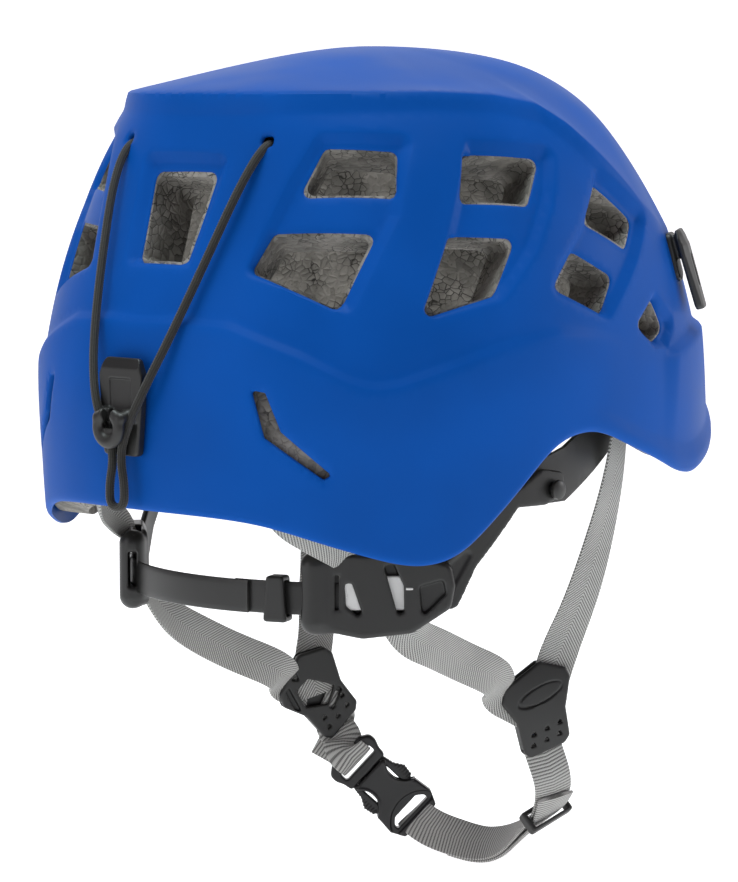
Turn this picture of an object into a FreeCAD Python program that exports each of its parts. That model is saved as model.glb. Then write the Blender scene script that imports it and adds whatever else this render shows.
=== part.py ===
"""Climbing helmet, millimetres, +Z up, front towards -Y, wearer's right towards -X.

The origin is the centre of the head opening. Angles called turn are measured from the rear
middle line, positive towards the wearer's right.
"""
import FreeCAD, Part
import math
import os

Vector = FreeCAD.Vector

# ---------------------------------------------------------------- driving dimensions
CROWN_HEIGHT = 150.0
SHELL_WALL = 2.5
LINER_GAP = 0.8
LINER_CROWN_WALL = 20.0
LINER_RIM_WALL = 13.0
LINER_RIM_LIFT = 5.0
REAR_ROUNDNESS = 2.25
FRONT_ROUNDNESS = 2.1
RIDGE_HEIGHT = 131.0
RIDGE_STEP = 3.0
RIDGE_BAND = 6.0
CROWN_SPLIT_HEIGHT = 118.0
CROWN_PAD_THICK = 5.0
CROWN_PAD_GAP = 6.5
WEBBING_WIDTH = 15.0
WEBBING_THICK = 1.6
LAYER_STEP = 2.3
CORD_DIAMETER = 3.2
RING_CENTRE_Y = -3.0
NAPE_HALF_WIDTH = 92.0
NAPE_REACH = 95.0
BROW_HALF_WIDTH = 86.0
BROW_REACH = 112.0
FOLD_PIVOT = Vector(0, 2, -12)
PIVOT_RADIUS = 2.0
PIVOT_CLEARANCE = 0.06
CORD_HOLE_TURN = 20.7
CORD_HOLE_DROP = 34.0
ADJUSTER_TURN = 44.0
ADJUSTER_HEIGHT = -47.0

# The dome's meridians as spline rows: drop below the crown, then rear, side and front reach.
MERIDIANS = [
    (0, 0, 0, 0),
    (0, 52, 42, 40),
    (10, 92, 72, 72),
    (31, 97, 93, 92),
    (64, 108, 107, 115),
    (102, 124, 113, 134),
    (142, 131.5, 113, 148),
    (195, 126, 108, 158),
]

# The rim seen from the side: y, z from the brim to the back of the head.
RIM = [
    (-160, 26), (-140, 15), (-108, -1), (-80, -9.5), (-68, -10.6), (-43, -4), (-20, 4),
    (4, 10.5), (20, 7), (34, -4.3), (51, -21), (64, -31), (75, -33.3), (90, -30), (107, -23),
    (118, -18), (140, -15),
]

# Openings on the wearer's right: (turn in degrees, drop below the crown) at each corner.
SIDE_VENTS = {
    "rear_upper": [(33, 36), (48, 37), (47.5, 53), (28.5, 53)],
    "rear_lower": [(24, 66), (43.5, 66), (37, 93), (20.5, 79.5)],
    "middle_upper": [(62, 38), (82.5, 40), (76, 56.5), (60, 55)],
    "middle_lower": [(57, 67), (71.5, 68.5), (65.5, 88.5), (51, 96)],
    "front_upper": [(98, 50), (109.5, 64), (104, 74), (91, 63.5)],
    "front_lower": [(86, 74), (97.5, 84), (92.5, 97.5), (79.5, 87)],
    "temple": [(111.5, 93), (115.5, 105), (110.5, 109.5), (104, 103.5)],
}
LOW_SLOT = [
    [(23.2, 121), (25.8, 121.5), (28.6, 137), (25.6, 137)],
    [(25.6, 134), (28.6, 136), (36.5, 150.5), (35, 152)],
]
LOW_SLOT_ROUNDING = 1.2
REAR_VENT = [(-9, 45), (9, 45), (6, 77.5), (-6, 77.5)]


# ---------------------------------------------------------------- dome geometry
def blend(points, s):
    """Clamped uniform cubic B-spline through rows of numbers, s from 0 to 1."""
    n = len(points)
    spans = n - 3
    knots = [0.0] * 4 + [i / spans for i in range(1, spans)] + [1.0] * 4
    s = min(max(s, 0.0), 1.0 - 1e-9)
    k = 3 + int(s * spans)
    rows = [list(points[k - 3 + i]) for i in range(4)]
    for level in range(1, 4):
        for i in range(3, level - 1, -1):
            low = knots[k - 3 + i]
            high = knots[k + 1 + i - level]
            share = (s - low) / (high - low)
            rows[i] = [(1 - share) * a + share * b for a, b in zip(rows[i - 1], rows[i])]
    return rows[3]


def dome_point(turn, s):
    drop, rear, side, front = blend(MERIDIANS, s)
    c, w = math.cos(turn), math.sin(turn)
    reach = rear if c > 0 else front
    power = REAR_ROUNDNESS if c > 0 else FRONT_ROUNDNESS
    if reach < 1e-6:
        return Vector(0, 0, CROWN_HEIGHT)
    radius = (abs(c / reach) ** power + abs(w / side) ** power) ** (-1 / power)
    return Vector(-radius * w, radius * c, CROWN_HEIGHT - drop)


def dome_normal(turn, s):
    step = 1e-3
    along = dome_point(turn, min(s + step, 1)) - dome_point(turn, s - step)
    around = dome_point(turn + step, s) - dome_point(turn - step, s)
    out = along.cross(around)
    return out.normalize()


def meridian_table(turn, offset_of):
    """(z, radius) down one meridian of the dome moved outwards by offset_of(drop)."""
    table = []
    for i in range(2, 101):
        s = i / 100
        p = dome_point(turn, s)
        p = p + dome_normal(turn, s) * offset_of(CROWN_HEIGHT - p.z)
        table.append((p.z, math.hypot(p.x, p.y)))
    return table


def radius_at(table, z):
    for (z1, r1), (z2, r2) in zip(table, table[1:]):
        if z1 >= z >= z2:
            return r1 + (r2 - r1) * (z1 - z) / (z1 - z2)
    return table[-1][1] if z < table[-1][0] else table[0][1]


RING_TURNS = [math.radians(15 * i) for i in range(24)]


def ring(tables, z, extra=None):
    points = []
    for turn, table in zip(RING_TURNS, tables):
        r = radius_at(table, z) + (extra(turn) if extra else 0)
        points.append(Vector(-r * math.sin(turn), r * math.cos(turn), z))
    curve = Part.BSplineCurve()
    curve.interpolate(Points=points, PeriodicFlag=True)
    return Part.Wire(curve.toShape())


def dome(offset_of, heights, raised=False):
    """A solid dome: smooth lofts through level rings, with the crown's raised edge if asked."""
    tables = [meridian_table(turn, offset_of) for turn in RING_TURNS]

    def plain(wires, ruled=False):
        return Part.makeLoft(wires, True, ruled)

    if not raised:
        return plain([ring(tables, z) for z in heights])

    def step_at(turn):
        front = abs(math.degrees(math.atan2(math.sin(turn), math.cos(turn))))
        return RIDGE_STEP * min(max((130 - front) / 30, 0.1), 1)

    upper = [z for z in heights if z > RIDGE_HEIGHT + 1]
    lower = [z for z in heights if z < RIDGE_HEIGHT - RIDGE_BAND - 1]
    top = CROWN_HEIGHT - RIDGE_HEIGHT
    lifted = [
        ring(tables, z, lambda turn, z=z: step_at(turn) * (CROWN_HEIGHT - z) / top) for z in upper
    ]
    edge = ring(tables, RIDGE_HEIGHT, step_at)
    foot = ring(tables, RIDGE_HEIGHT - RIDGE_BAND)
    cap = plain(lifted + [edge])
    band = plain([edge, foot], True)
    body = plain([foot] + [ring(tables, z) for z in lower])
    return cap.fuse([band, body])


def liner_inner_offset(drop):
    share = min(max((drop - 60) / 90, 0), 1)
    wall = LINER_CROWN_WALL + share * (LINER_RIM_WALL - LINER_CROWN_WALL)
    return -(SHELL_WALL + LINER_GAP + wall)


def below_rim(lift):
    """Everything lower than the rim's side outline, moved up by lift."""
    curve = Part.BSplineCurve()
    curve.interpolate(Points=[Vector(-200, y, z + lift) for y, z in RIM])
    first, last = curve.StartPoint, curve.EndPoint
    deep = [last, Vector(-200, last.y, -120), Vector(-200, first.y, -120), first]
    edges = [curve.toShape()] + [Part.makeLine(a, b) for a, b in zip(deep, deep[1:])]
    return Part.Face(Part.Wire(edges)).extrude(Vector(400, 0, 0))


def drop_to_s(drop):
    low, high = 0.0, 1.0
    for _ in range(40):
        middle = (low + high) / 2
        if blend(MERIDIANS, middle)[0] < drop:
            low = middle
        else:
            high = middle
    return low


def on_dome(turn_degrees, drop):
    return dome_point(math.radians(turn_degrees), drop_to_s(drop))


def rounded_face(points, radius):
    """A flat face through the points, its corners rounded."""
    edges = []
    starts, ends = [], []
    n = len(points)
    arcs = []
    for i in range(n):
        before, here, after = points[i - 1], points[i], points[(i + 1) % n]
        a = (before - here).normalize()
        b = (after - here).normalize()
        half = a.getAngle(b) / 2
        room = 0.45 * min((before - here).Length, (after - here).Length)
        r = min(radius, room * math.tan(half))
        setback = r / math.tan(half)
        p, q = here + a * setback, here + b * setback
        middle = here + (a + b).normalize() * (r / math.sin(half) - r)
        starts.append(p)
        ends.append(q)
        arcs.append(Part.Arc(p, middle, q).toShape())
    for i in range(n):
        edges.append(arcs[i])
        edges.append(Part.makeLine(ends[i], starts[(i + 1) % n]))
    return Part.Face(Part.Wire(edges))


def vent_cutter(corners, mirror=1, shrink=1.0, radius=3.0):
    """A rounded prism through the wall, along the wall's normal at the opening's middle."""
    points = [on_dome(mirror * turn, drop) for turn, drop in corners]
    middle_turn = mirror * sum(turn for turn, _ in corners) / len(corners)
    middle_drop = sum(drop for _, drop in corners) / len(corners)
    centre = on_dome(middle_turn, middle_drop)
    normal = dome_normal(math.radians(middle_turn), drop_to_s(middle_drop))
    flat = []
    for p in points:
        q = p - normal * (p - centre).dot(normal)
        flat.append(centre + (q - centre) * shrink - normal * 45)
    return rounded_face(flat, radius).extrude(normal * 75)


def all_vents(shrink=1.0):
    """Cutters for every opening that goes through both the shell and the foam."""
    cutters = [vent_cutter(REAR_VENT, 1, shrink)]
    for corners in SIDE_VENTS.values():
        cutters.append(vent_cutter(corners, 1, shrink))
        cutters.append(vent_cutter(corners, -1, shrink))
    return cutters


def low_slots():
    """Cutters for the bent slots low on each side, which go through the shell only."""
    return [
        vent_cutter(corners, mirror, 1.0, LOW_SLOT_ROUNDING)
        for corners in LOW_SLOT
        for mirror in (1, -1)
    ]


# ---------------------------------------------------------------- small helpers
def save(name, shape):
    """Write one node, checked for closed solids of positive volume."""
    solids = shape.Solids
    bad = [s for s in solids if not s.isValid() or s.Volume <= 0]
    print(f"{name}: {len(solids)} solid(s), {sum(s.Volume for s in solids) / 1000:.2f} cm3")
    if bad or not solids:
        print(f"  {name} NEEDS REPAIR")
    out = solids[0] if len(solids) == 1 else Part.makeCompound(solids)
    out.exportStep(f"parts/{name}.step")
    NODES[name] = out


NODES = {}


def placed(shape, centre, x_axis, z_axis):
    """Move a shape built at the origin so that its own x and z point along the two axes."""
    x = Vector(x_axis).normalize()
    z = Vector(z_axis)
    z = (z - x * z.dot(x)).normalize()
    y = z.cross(x)
    matrix = FreeCAD.Matrix(
        x.x, y.x, z.x, centre.x,
        x.y, y.y, z.y, centre.y,
        x.z, y.z, z.z, centre.z,
        0, 0, 0, 1,
    )
    moved = shape.copy()
    moved.Placement = FreeCAD.Placement(matrix).multiply(moved.Placement)
    return moved


def plate(points, thick, radius=1.5):
    """An upright plate centred on z = 0 from its outline in the XY plane."""
    face = rounded_face([Vector(x, y, -thick / 2) for x, y in points], radius)
    return face.extrude(Vector(0, 0, thick))


def block(length, width, height, centre=(0, 0, 0), radius=1.0):
    """A box with its upright corners rounded."""
    a, b = length / 2, width / 2
    solid = plate([(-a, -b), (a, -b), (a, b), (-a, b)], height, radius)
    return solid.translated(Vector(*centre))


def webbing(stations, width=WEBBING_WIDTH, thick=WEBBING_THICK, steps=4):
    """A flat strap through (point, face normal) stations."""
    points = [Vector(*p) for p, _ in stations]
    curve = Part.BSplineCurve()
    curve.interpolate(Points=points)
    first, last = curve.FirstParameter, curve.LastParameter
    marks = [curve.parameter(p) for p in points]
    sections = []
    for i in range(len(points) - 1):
        for k in range(steps):
            share = k / steps
            sections.append((marks[i] + share * (marks[i + 1] - marks[i]), i, share))
    sections.append((last, len(points) - 2, 1.0))
    wires = []
    for u, i, share in sections:
        centre = curve.value(max(min(u, last), first))
        along = curve.tangent(max(min(u, last), first))[0]
        hint = Vector(*stations[i][1]) * (1 - share) + Vector(*stations[i + 1][1]) * share
        face = (hint - along * hint.dot(along)).normalize()
        across = face.cross(along).normalize()
        a, f = across * (width / 2), face * (thick / 2)
        corners = [centre + a + f, centre - a + f, centre - a - f, centre + a - f]
        wires.append(Part.makePolygon(corners + corners[:1]))
    return Part.makeLoft(wires, True, False)


def ring_band(half_width, reach, low, high, first, last, inner, outer):
    """A curved strip round the head between two turn angles, from inner to outer off its line."""
    def edge(extra):
        points = []
        for i in range(9):
            turn = math.radians(first + (last - first) * i / 8)
            points.append(Vector(
                -(half_width + extra) * math.sin(turn),
                RING_CENTRE_Y + (reach + extra * math.copysign(1, reach)) * math.cos(turn),
                low,
            ))
        curve = Part.BSplineCurve()
        curve.interpolate(Points=points)
        return curve

    a, b = edge(inner), edge(outer)
    sides = [
        a.toShape(),
        Part.makeLine(a.EndPoint, b.EndPoint),
        b.toShape(),
        Part.makeLine(b.StartPoint, a.StartPoint),
    ]
    band = Part.Face(Part.Wire(sides)).extrude(Vector(0, 0, high - low))
    if band.Volume < 0:
        band.reverse()
    return band


def side_slab(points):
    """Everything, all the way across, inside an outline given as y, z."""
    edge = [Vector(-200, y, z) for y, z in points]
    return Part.Face(Part.makePolygon(edge + edge[:1])).extrude(Vector(400, 0, 0))


# ---------------------------------------------------------------- shell and foam
def make_shell():
    heights = [149.2, 146, 141, 136, 124, 112, 98, 82, 65, 45, 25, 5, -20, -40]
    outer = dome(lambda drop: 0, heights, raised=True)
    hollow_heights = [146.8, 144, 139, 133, 124, 112, 98, 82, 65, 45, 25, 5, -20, -41]
    inner = dome(lambda drop: -SHELL_WALL, hollow_heights)
    shell = outer.cut(inner).cut(below_rim(0))
    holes = []
    for mirror in (1, -1):
        turn = mirror * CORD_HOLE_TURN
        centre = on_dome(turn, CORD_HOLE_DROP)
        normal = dome_normal(math.radians(turn), drop_to_s(CORD_HOLE_DROP))
        holes.append(Part.makeCylinder(CORD_DIAMETER / 2 + 0.6, 24, centre - normal * 12, normal))
    for cutter in all_vents() + low_slots() + holes:
        shell = shell.cut(cutter)
    return shell


LINER_HOLLOW_HEIGHTS = [126.2, 122, 116, 108, 98, 86, 74, 60, 45, 25, 5, -20, -41]


def make_liners():
    gap = SHELL_WALL + LINER_GAP
    heights = [145.7, 143, 138, 132, 124, 112, 98, 82, 65, 45, 25, 5, -20, -40]
    outer = dome(lambda drop: -gap, heights)
    foam = outer.cut(dome(liner_inner_offset, LINER_HOLLOW_HEIGHTS)).cut(below_rim(LINER_RIM_LIFT))
    for cutter in all_vents(0.93):
        foam = foam.cut(cutter)
    for mirror in (1, -1):
        turn = mirror * CORD_HOLE_TURN
        centre = on_dome(turn, CORD_HOLE_DROP)
        normal = dome_normal(math.radians(turn), drop_to_s(CORD_HOLE_DROP))
        foam = foam.cut(Part.makeCylinder(5.5, 12, centre - normal * 13.5, normal))
    slab = Part.makeBox(400, 400, 80, Vector(-200, -200, CROWN_SPLIT_HEIGHT))
    return foam.common(slab), foam.cut(slab)


def make_crown_pad():
    outline = [
        (-46, -20), (-20, -46), (20, -46), (46, -20), (46, 20), (20, 46), (-20, 46), (-46, 20),
    ]
    pad = plate(outline, 60, 12).cut(block(26, 26, 80, (0, 0, 0), 8))
    hollow = dome(liner_inner_offset, LINER_HOLLOW_HEIGHTS[:6])
    top = Vector(0, 0, -CROWN_PAD_GAP)
    foot = Vector(0, 0, -CROWN_PAD_GAP - CROWN_PAD_THICK)
    layer = hollow.translated(top).cut(hollow.translated(foot))
    return pad.translated(Vector(0, 0, 126)).common(layer)


# ---------------------------------------------------------------- head ring
def nape_point(turn_degrees, z, inset=0.0):
    turn = math.radians(turn_degrees)
    return Vector(
        -(NAPE_HALF_WIDTH + inset) * math.sin(turn),
        RING_CENTRE_Y + (NAPE_REACH + inset) * math.cos(turn),
        z,
    )


def nape_outward(turn_degrees):
    turn = math.radians(turn_degrees)
    return Vector(-math.sin(turn), math.cos(turn), 0)


def make_nape_arm(mirror):
    """Strip rising from the adjuster to its pivot, with the pivot's hole."""
    band = ring_band(NAPE_HALF_WIDTH, NAPE_REACH, -60, 0, mirror * 58, mirror * 93, -1.2, 1.2)
    outline = [
        (60, -53), (43, -53), (26, -38), (-2, -20), (-14, -14),
        (-14, -4), (8, -4), (28, -18), (48, -38), (60, -41),
    ]
    start = FOLD_PIVOT - Vector(200, 0, 0)
    hole = Part.makeCylinder(PIVOT_RADIUS + PIVOT_CLEARANCE, 400, start, Vector(1, 0, 0))
    return band.common(side_slab(outline)).cut(hole)


def make_pivot(mirror):
    """Headed stud that the arm turns on, from outside the arm to the headband."""
    start = Vector(-mirror * 96.6, FOLD_PIVOT.y, FOLD_PIVOT.z)
    inward = Vector(mirror, 0, 0)
    head = Part.makeCylinder(4.5, 2.6, start, inward)
    return head.fuse(Part.makeCylinder(PIVOT_RADIUS, 10, start, inward))



def make_adjuster(mirror):
    outline = [(-25, -7), (-19, -14), (-6, -16), (14, -14), (27, -4), (27, 9), (10, 15), (-20, 15), (-25, 9)]
    body = plate(outline, 8.4, 3)
    body = body.cut(block(60, 16.5, 3.4, (0, 1, -1.4), 0.5))
    body = body.cut(block(3.2, 17, 20, (4, -1, 3), 1.4))
    body = body.cut(block(3.2, 15, 20, (-11, -2, 3), 1.4))
    body = body.cut(block(18, 30, 3.0, (4, -10, 2.0), 0.6))
    centre = nape_point(mirror * ADJUSTER_TURN, ADJUSTER_HEIGHT)
    out = nape_outward(mirror * ADJUSTER_TURN)
    forward = Vector(0, 0, 1).cross(out) * mirror
    return placed(body, centre, forward, out)


def make_nape_band(mirror):
    first, last = (10, 34) if mirror > 0 else (-34, 14)
    stand = (-1.0, 0.4) if mirror > 0 else (0.7, 2.1)
    return ring_band(
        NAPE_HALF_WIDTH, NAPE_REACH,
        -55, -43, first, last, stand[0], stand[1],
    )


def make_nape_keeper():
    ring_out = ring_band(NAPE_HALF_WIDTH, NAPE_REACH, -57.5, -41, 17.5, 24.5, -3.4, 4.2)
    hole = ring_band(NAPE_HALF_WIDTH, NAPE_REACH, -55.4, -42.6, 17, 25, -1.4, 2.4)
    return ring_out.cut(hole)


def make_headband():
    """Strip across the brow that dips to the arm pivots behind the temples."""
    band = ring_band(BROW_HALF_WIDTH, -BROW_REACH, -20, 30, -98, 98, -0.9, 0.9)
    outline = [
        (12, -18), (-12, -18), (-50, 0), (-120, 6), (-120, 26), (-50, 20), (-12, 2), (12, -4),
    ]
    return band.common(side_slab(outline))


def make_brow_pad():
    return ring_band(BROW_HALF_WIDTH, -BROW_REACH, 8, 24, -42, 42, -5.7, -1.2)


# ---------------------------------------------------------------- harness
DIVIDER_PLANE = Vector(-0.866, 0.5, 0)
RIGHT_DIVIDER = Vector(-57, -31.6, -100.6)
LEFT_DIVIDER = Vector(57, -28.8, -108)
LEFT_DIVIDER_TILT = 27.0
DIVIDER_OUTLINE = [
    (-14, 7), (-15, 1), (-8.5, -7), (-5.5, -18.5), (-3, -20.5), (11, -15), (13, -12),
    (11, -1), (13, 11), (11, 14.5), (0, 17),
]


def make_divider(centre, up_tilt, flip):
    """Triangular two-layer plate with a webbing pocket, six foot holes and an open back."""
    outline = [(flip * x, y) for x, y in DIVIDER_OUTLINE]
    body = plate(outline, 6.4, 2.0)
    pocket = plate([(flip * x * 1.3, y * 1.3) for x, y in DIVIDER_OUTLINE], 2.6, 2.0)
    core = plate([(flip * x * 0.55, y * 0.55) for x, y in DIVIDER_OUTLINE], 2.6, 1.0)
    body = body.cut(pocket.cut(core))
    for i in range(3):
        for k in range(2):
            x, y = flip * (-2.0 + 5.2 * i), -15.2 + 2.2 * i + 4.2 * k
            body = body.cut(block(2.2, 1.8, 4, (x, y, 3), 0.4))
    forward = Vector(-0.5, -0.866, 0)
    tilt = FreeCAD.Rotation(DIVIDER_PLANE, up_tilt)
    return placed(body, centre, tilt.multVec(forward), DIVIDER_PLANE)


BUCKLE_CENTRE = Vector(35.3, -46, -146.6)
BUCKLE_ALONG = Vector(-0.53, -0.50, -0.68).normalize()
BUCKLE_FACE = Vector(-0.673, 0.735, 0.08)


def in_buckle(shape):
    return placed(shape, BUCKLE_CENTRE, BUCKLE_ALONG, BUCKLE_FACE)


def buckle_point(x, y, z):
    face = (BUCKLE_FACE - BUCKLE_ALONG * BUCKLE_FACE.dot(BUCKLE_ALONG)).normalize()
    return BUCKLE_CENTRE + BUCKLE_ALONG * x + face.cross(BUCKLE_ALONG) * y + face * z


def make_buckle_male():
    frame = plate([(-19, -10), (-15, -11.8), (-8.5, -11), (-8.5, 11), (-15, 11.8), (-19, 10)], 4.6, 2)
    frame = frame.cut(block(3.4, 16.6, 8, (-14.2, 0, 0), 1))
    tongue = block(15, 4.6, 2.4, (-2.5, 0, 0), 0.8)
    return frame.fuse(tongue)


def make_buckle_arm(side):
    outline = [(-8.4, 6.2), (-8.4, 8.6), (-3, 9.2), (1, 11.8), (5, 11.0), (6.5, 8.4), (5.5, 6.6), (-3, 6.6)]
    return plate([(x, side * y) for x, y in outline], 3.4, 0.7)


def make_buckle_female():
    outline = [
        (-6, -5.2), (-1, -6), (4, -8.5), (8, -11), (15, -11.6), (19, -9.5), (19, 9.5),
        (15, 11.6), (8, 11), (4, 8.5), (-1, 6), (-6, 5.2),
    ]
    body = plate(outline, 6.6, 1.5)
    body = body.cut(block(20, 30, 3.9, (-2.5, 0, 0), 0.5))
    return body.cut(block(3.4, 16.6, 10, (13.8, 0, 0), 1))


STRAPS = {
    "front_strap_right": [
        ((-83.2, -49.0, 20), (-0.86, -0.5, 0)), ((-84, -46.5, 2), (-0.95, -0.3, 0)),
        ((-78, -44.8, -31), (-1, 0, 0)), ((-69, -41, -63), (-0.95, 0.3, 0)),
        ((-61, -39.5, -82), (-0.866, 0.5, 0)),
    ],
    "front_strap_left": [
        ((83.2, -49.0, 20), (0.86, -0.5, 0)), ((85, -55, -10), (0.9, -0.45, 0)),
        ((80, -55, -55), (0.9, -0.45, 0)), ((70, -43.3, -74), (0.88, -0.48, 0)),
        ((62, -34.5, -87.5), (0.866, -0.5, 0)),
    ],
    "rear_strap_upper_right": [
        ((-50, 98, -17), (-0.45, 0.9, 0)), ((-54.5, 92.5, -22.5), (-0.5, 0.85, 0)),
        ((-58, 87, -27), (-0.55, 0.83, 0)),
    ],
    "rear_strap_upper_left": [
        ((50, 98, -17), (0.45, 0.9, 0)), ((54.5, 92.5, -22.5), (0.5, 0.85, 0)),
        ((58, 87, -27), (0.55, 0.83, 0)),
    ],
    "rear_strap_lower_right": [
        ((-64.5, 47, -65), (-0.75, 0.6, 0)), ((-64, 38, -69), (-0.8, 0.5, 0)),
        ((-61, 12, -79.5), (-0.85, 0.45, 0)),
        ((-58.5, -13, -91), (-0.866, 0.5, 0)),
    ],
    "rear_strap_lower_left": [
        ((66, 46, -68.5), (0.85, 0.5, 0)), ((64, 29, -79.5), (0.97, 0.1, 0)),
        ((61, 10, -89), (0.93, -0.3, 0)), ((58.5, -10, -100), (0.866, -0.5, 0)),
    ],
    "chin_strap": [
        (tuple(buckle_point(17.5, 0, 4.6)), (-0.67, 0.73, 0.1)),
        ((18.5, -54.5, -162), (-0.62, 0.73, 0.25)), ((7.5, -58, -165.5), (-0.55, 0.72, 0.4)),
        ((-5, -59.5, -166.5), (-0.4, 0.7, 0.6)), ((-19, -58, -162.5), (-0.1, 0.65, 0.75)),
        ((-34, -53, -154), (0.25, 0.5, 0.8)), ((-49, -46, -145), (0.5, 0.2, 0.8)),
        ((-57.5, -41, -136), (0.7, -0.2, 0.5)), ((-60, -37, -128), (0.8, -0.4, 0.1)),
        ((-59.5, -35.8, -121.5), (0.866, -0.5, 0)),
    ],
}


def strap_tail(stations, drop):
    """A second layer of the same strap, set back behind its face."""
    rows = []
    for p, n in stations:
        back = Vector(*n).normalize() * -drop
        rows.append((tuple(Vector(*p) + back), n))
    return rows


def make_keeper():
    middle = (0, 0, -LAYER_STEP / 2)
    body = block(6, 20, 8.6, middle, 1)
    body = body.cut(block(10, 16.2, 5.2, middle, 0.3))
    return placed(body, Vector(-49, -46, -145), Vector(-12, 6, 9), Vector(0.5, 0.2, 0.8))


# ---------------------------------------------------------------- head-torch fittings
def make_front_clip(mirror):
    """Tongue standing off the shell, joined to a foot at its top."""
    foot = block(24, 13, 2.2, (0, 0, -2.6), 3)
    stem = block(9, 10, 4, (-7, 0, 0), 1)
    tongue = plate([(-13, -7.5), (-5, -7.5), (15, -5.5), (15, 5.5), (-5, 7.5), (-13, 7.5)], 2.4, 2.5)
    body = foot.fuse([stem, tongue.translated(Vector(0, 0, 2.6))])
    turn = mirror * 128
    centre = on_dome(turn, 84)
    normal = dome_normal(math.radians(turn), drop_to_s(84))
    return placed(body, centre + normal * 4.1, on_dome(turn, 94) - on_dome(turn, 74), normal)


def make_rear_plate():
    """Backing plate with a rounded U-shaped horn that the cord is trapped behind."""
    base = plate([(-10, -18), (10, -18), (10.8, 12), (8, 17), (-8, 17), (-10.8, 12)], 3.2, 2.5)
    horn = plate([(-11, 3), (-7, -12), (7, -12), (11, 3), (7, 6.5), (-7, 6.5)], 2.8, 4)
    notch = plate([(-4.5, 4), (0, -6), (4.5, 4)], 6, 1.5)
    body = base.fuse(horn.translated(Vector(0, 0, 7.8)))
    body = body.cut(notch.translated(Vector(0, 0, 7.8)))
    for x in (-6, 6):
        body = body.fuse(block(3.5, 5.5, 5.4, (x, 3.4, 4.1), 0.8))
    return placed(body, Vector(0, 130.6, 22), Vector(-1, 0, 0), Vector(0, 1, 0))


# The cord's right half, from inside its hole down to the foot of the pull loop.
CORD_HALF = [
    (-33.7, 88.8, 114.3), (-36.5, 97, 117.4), (-22, 124, 54), (-11.5, 135, 24),
    (-3.2, 134.4, 10), (-1.9, 134.2, 2), (-3.8, 134.3, -6), (-3.6, 134.3, -14.5),
]
CORD_BEND = 0.45


def make_cord():
    """Straight runs joined by tangent arcs, swept with a round section."""
    right = [Vector(*p) for p in CORD_HALF]
    route = right + [Vector(-p.x, p.y, p.z) for p in reversed(right)]
    edges = []
    start = route[0]
    radii = []
    for before, here, after in zip(route, route[1:], route[2:]):
        a = (before - here).normalize()
        b = (after - here).normalize()
        half = a.getAngle(b) / 2
        setback = CORD_BEND * min((before - here).Length, (after - here).Length)
        radius = setback * math.tan(half)
        radii.append(round(radius, 1))
        p, q = here + a * setback, here + b * setback
        middle = here + (a + b).normalize() * (radius / math.sin(half) - radius)
        edges.append(Part.LineSegment(start, p).toShape())
        edges.append(Part.Arc(p, middle, q).toShape())
        start = q
    edges.append(Part.LineSegment(start, route[-1]).toShape())
    path = Part.Wire(edges)
    circle = Part.makeCircle(CORD_DIAMETER / 2, route[0], route[1] - route[0])
    tube = path.makePipeShell([Part.Wire(circle)], True, True)
    area = math.pi * CORD_DIAMETER ** 2 / 4
    print("cord radii", radii, "length", round(path.Length, 1))
    print("cord volume over section times length", round(tube.Volume / area / path.Length, 3))
    return tube


def make_cord_knots():
    knots = []
    for side in (1, -1):
        end, inner = Vector(*CORD_HALF[0]), Vector(*CORD_HALF[1])
        centre = end + (end - inner).normalize() * 3.65
        knots.append(Part.makeSphere(3.6, Vector(side * centre.x, centre.y, centre.z)))
    return knots


def make_front_anchor(mirror):
    body = block(18, 12, 2.0, (0, 0, 0), 3)
    out = Vector(-mirror * 0.86, -0.5, 0)
    centre = Vector(-mirror * 83.2, -49.0, 19) + out * 2.0
    return placed(body, centre, Vector(0, 0, 1).cross(out), out)


def make_front_rivet(mirror):
    out = Vector(-mirror * 0.86, -0.5, 0)
    centre = Vector(-mirror * 83.2, -49.0, 17) - out * 2.2
    head = Part.makeCylinder(3.4, 1.3, centre, out)
    return head.fuse(Part.makeCylinder(1.6, 5, centre, out))


def main():
    os.makedirs("parts", exist_ok=True)
    save("outer_shell", make_shell())
    crown, side = make_liners()
    save("crown_liner", crown)
    save("side_liner", side)
    save("crown_pad", make_crown_pad())
    save("headband", make_headband())
    save("brow_pad", make_brow_pad())
    for name, mirror in (("right", 1), ("left", -1)):
        save(f"nape_arm_{name}", make_nape_arm(mirror))
        save(f"nape_adjuster_{name}", make_adjuster(mirror))
        save(f"nape_band_{name}", make_nape_band(mirror))
        save(f"front_clip_{name}", make_front_clip(mirror))
        save(f"front_anchor_{name}", make_front_anchor(mirror))
        save(f"front_rivet_{name}", make_front_rivet(mirror))
        save(f"nape_pivot_{name}", make_pivot(mirror))
    save("nape_keeper", make_nape_keeper())
    save("strap_divider_right", make_divider(RIGHT_DIVIDER, 0, 1))
    save("strap_divider_left", make_divider(LEFT_DIVIDER, LEFT_DIVIDER_TILT, 1))
    for name, stations in STRAPS.items():
        save(name, webbing(stations))
    save("chin_strap_tail", webbing(strap_tail(STRAPS["chin_strap"][2:8], LAYER_STEP)))
    short = [
        (tuple(buckle_point(-27, 0, 2.6)), (-0.67, 0.73, 0.1)),
        (tuple(buckle_point(-20.5, 0, 4.9)), (-0.67, 0.73, 0.1)),
        (tuple(buckle_point(-14, 0, 4.9)), (-0.67, 0.73, 0.1)),
    ]
    save("chin_strap_short", webbing(short))
    save("strap_keeper", make_keeper())
    save("buckle_male", in_buckle(make_buckle_male()))
    save("buckle_arm_upper", in_buckle(make_buckle_arm(1)))
    save("buckle_arm_lower", in_buckle(make_buckle_arm(-1)))
    save("buckle_female", in_buckle(make_buckle_female()))
    save("rear_hook_plate", make_rear_plate())
    save("elastic_cord", make_cord())
    save("cord_knots", Part.makeCompound(make_cord_knots()))


if __name__ == "__main__":
    main()
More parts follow.
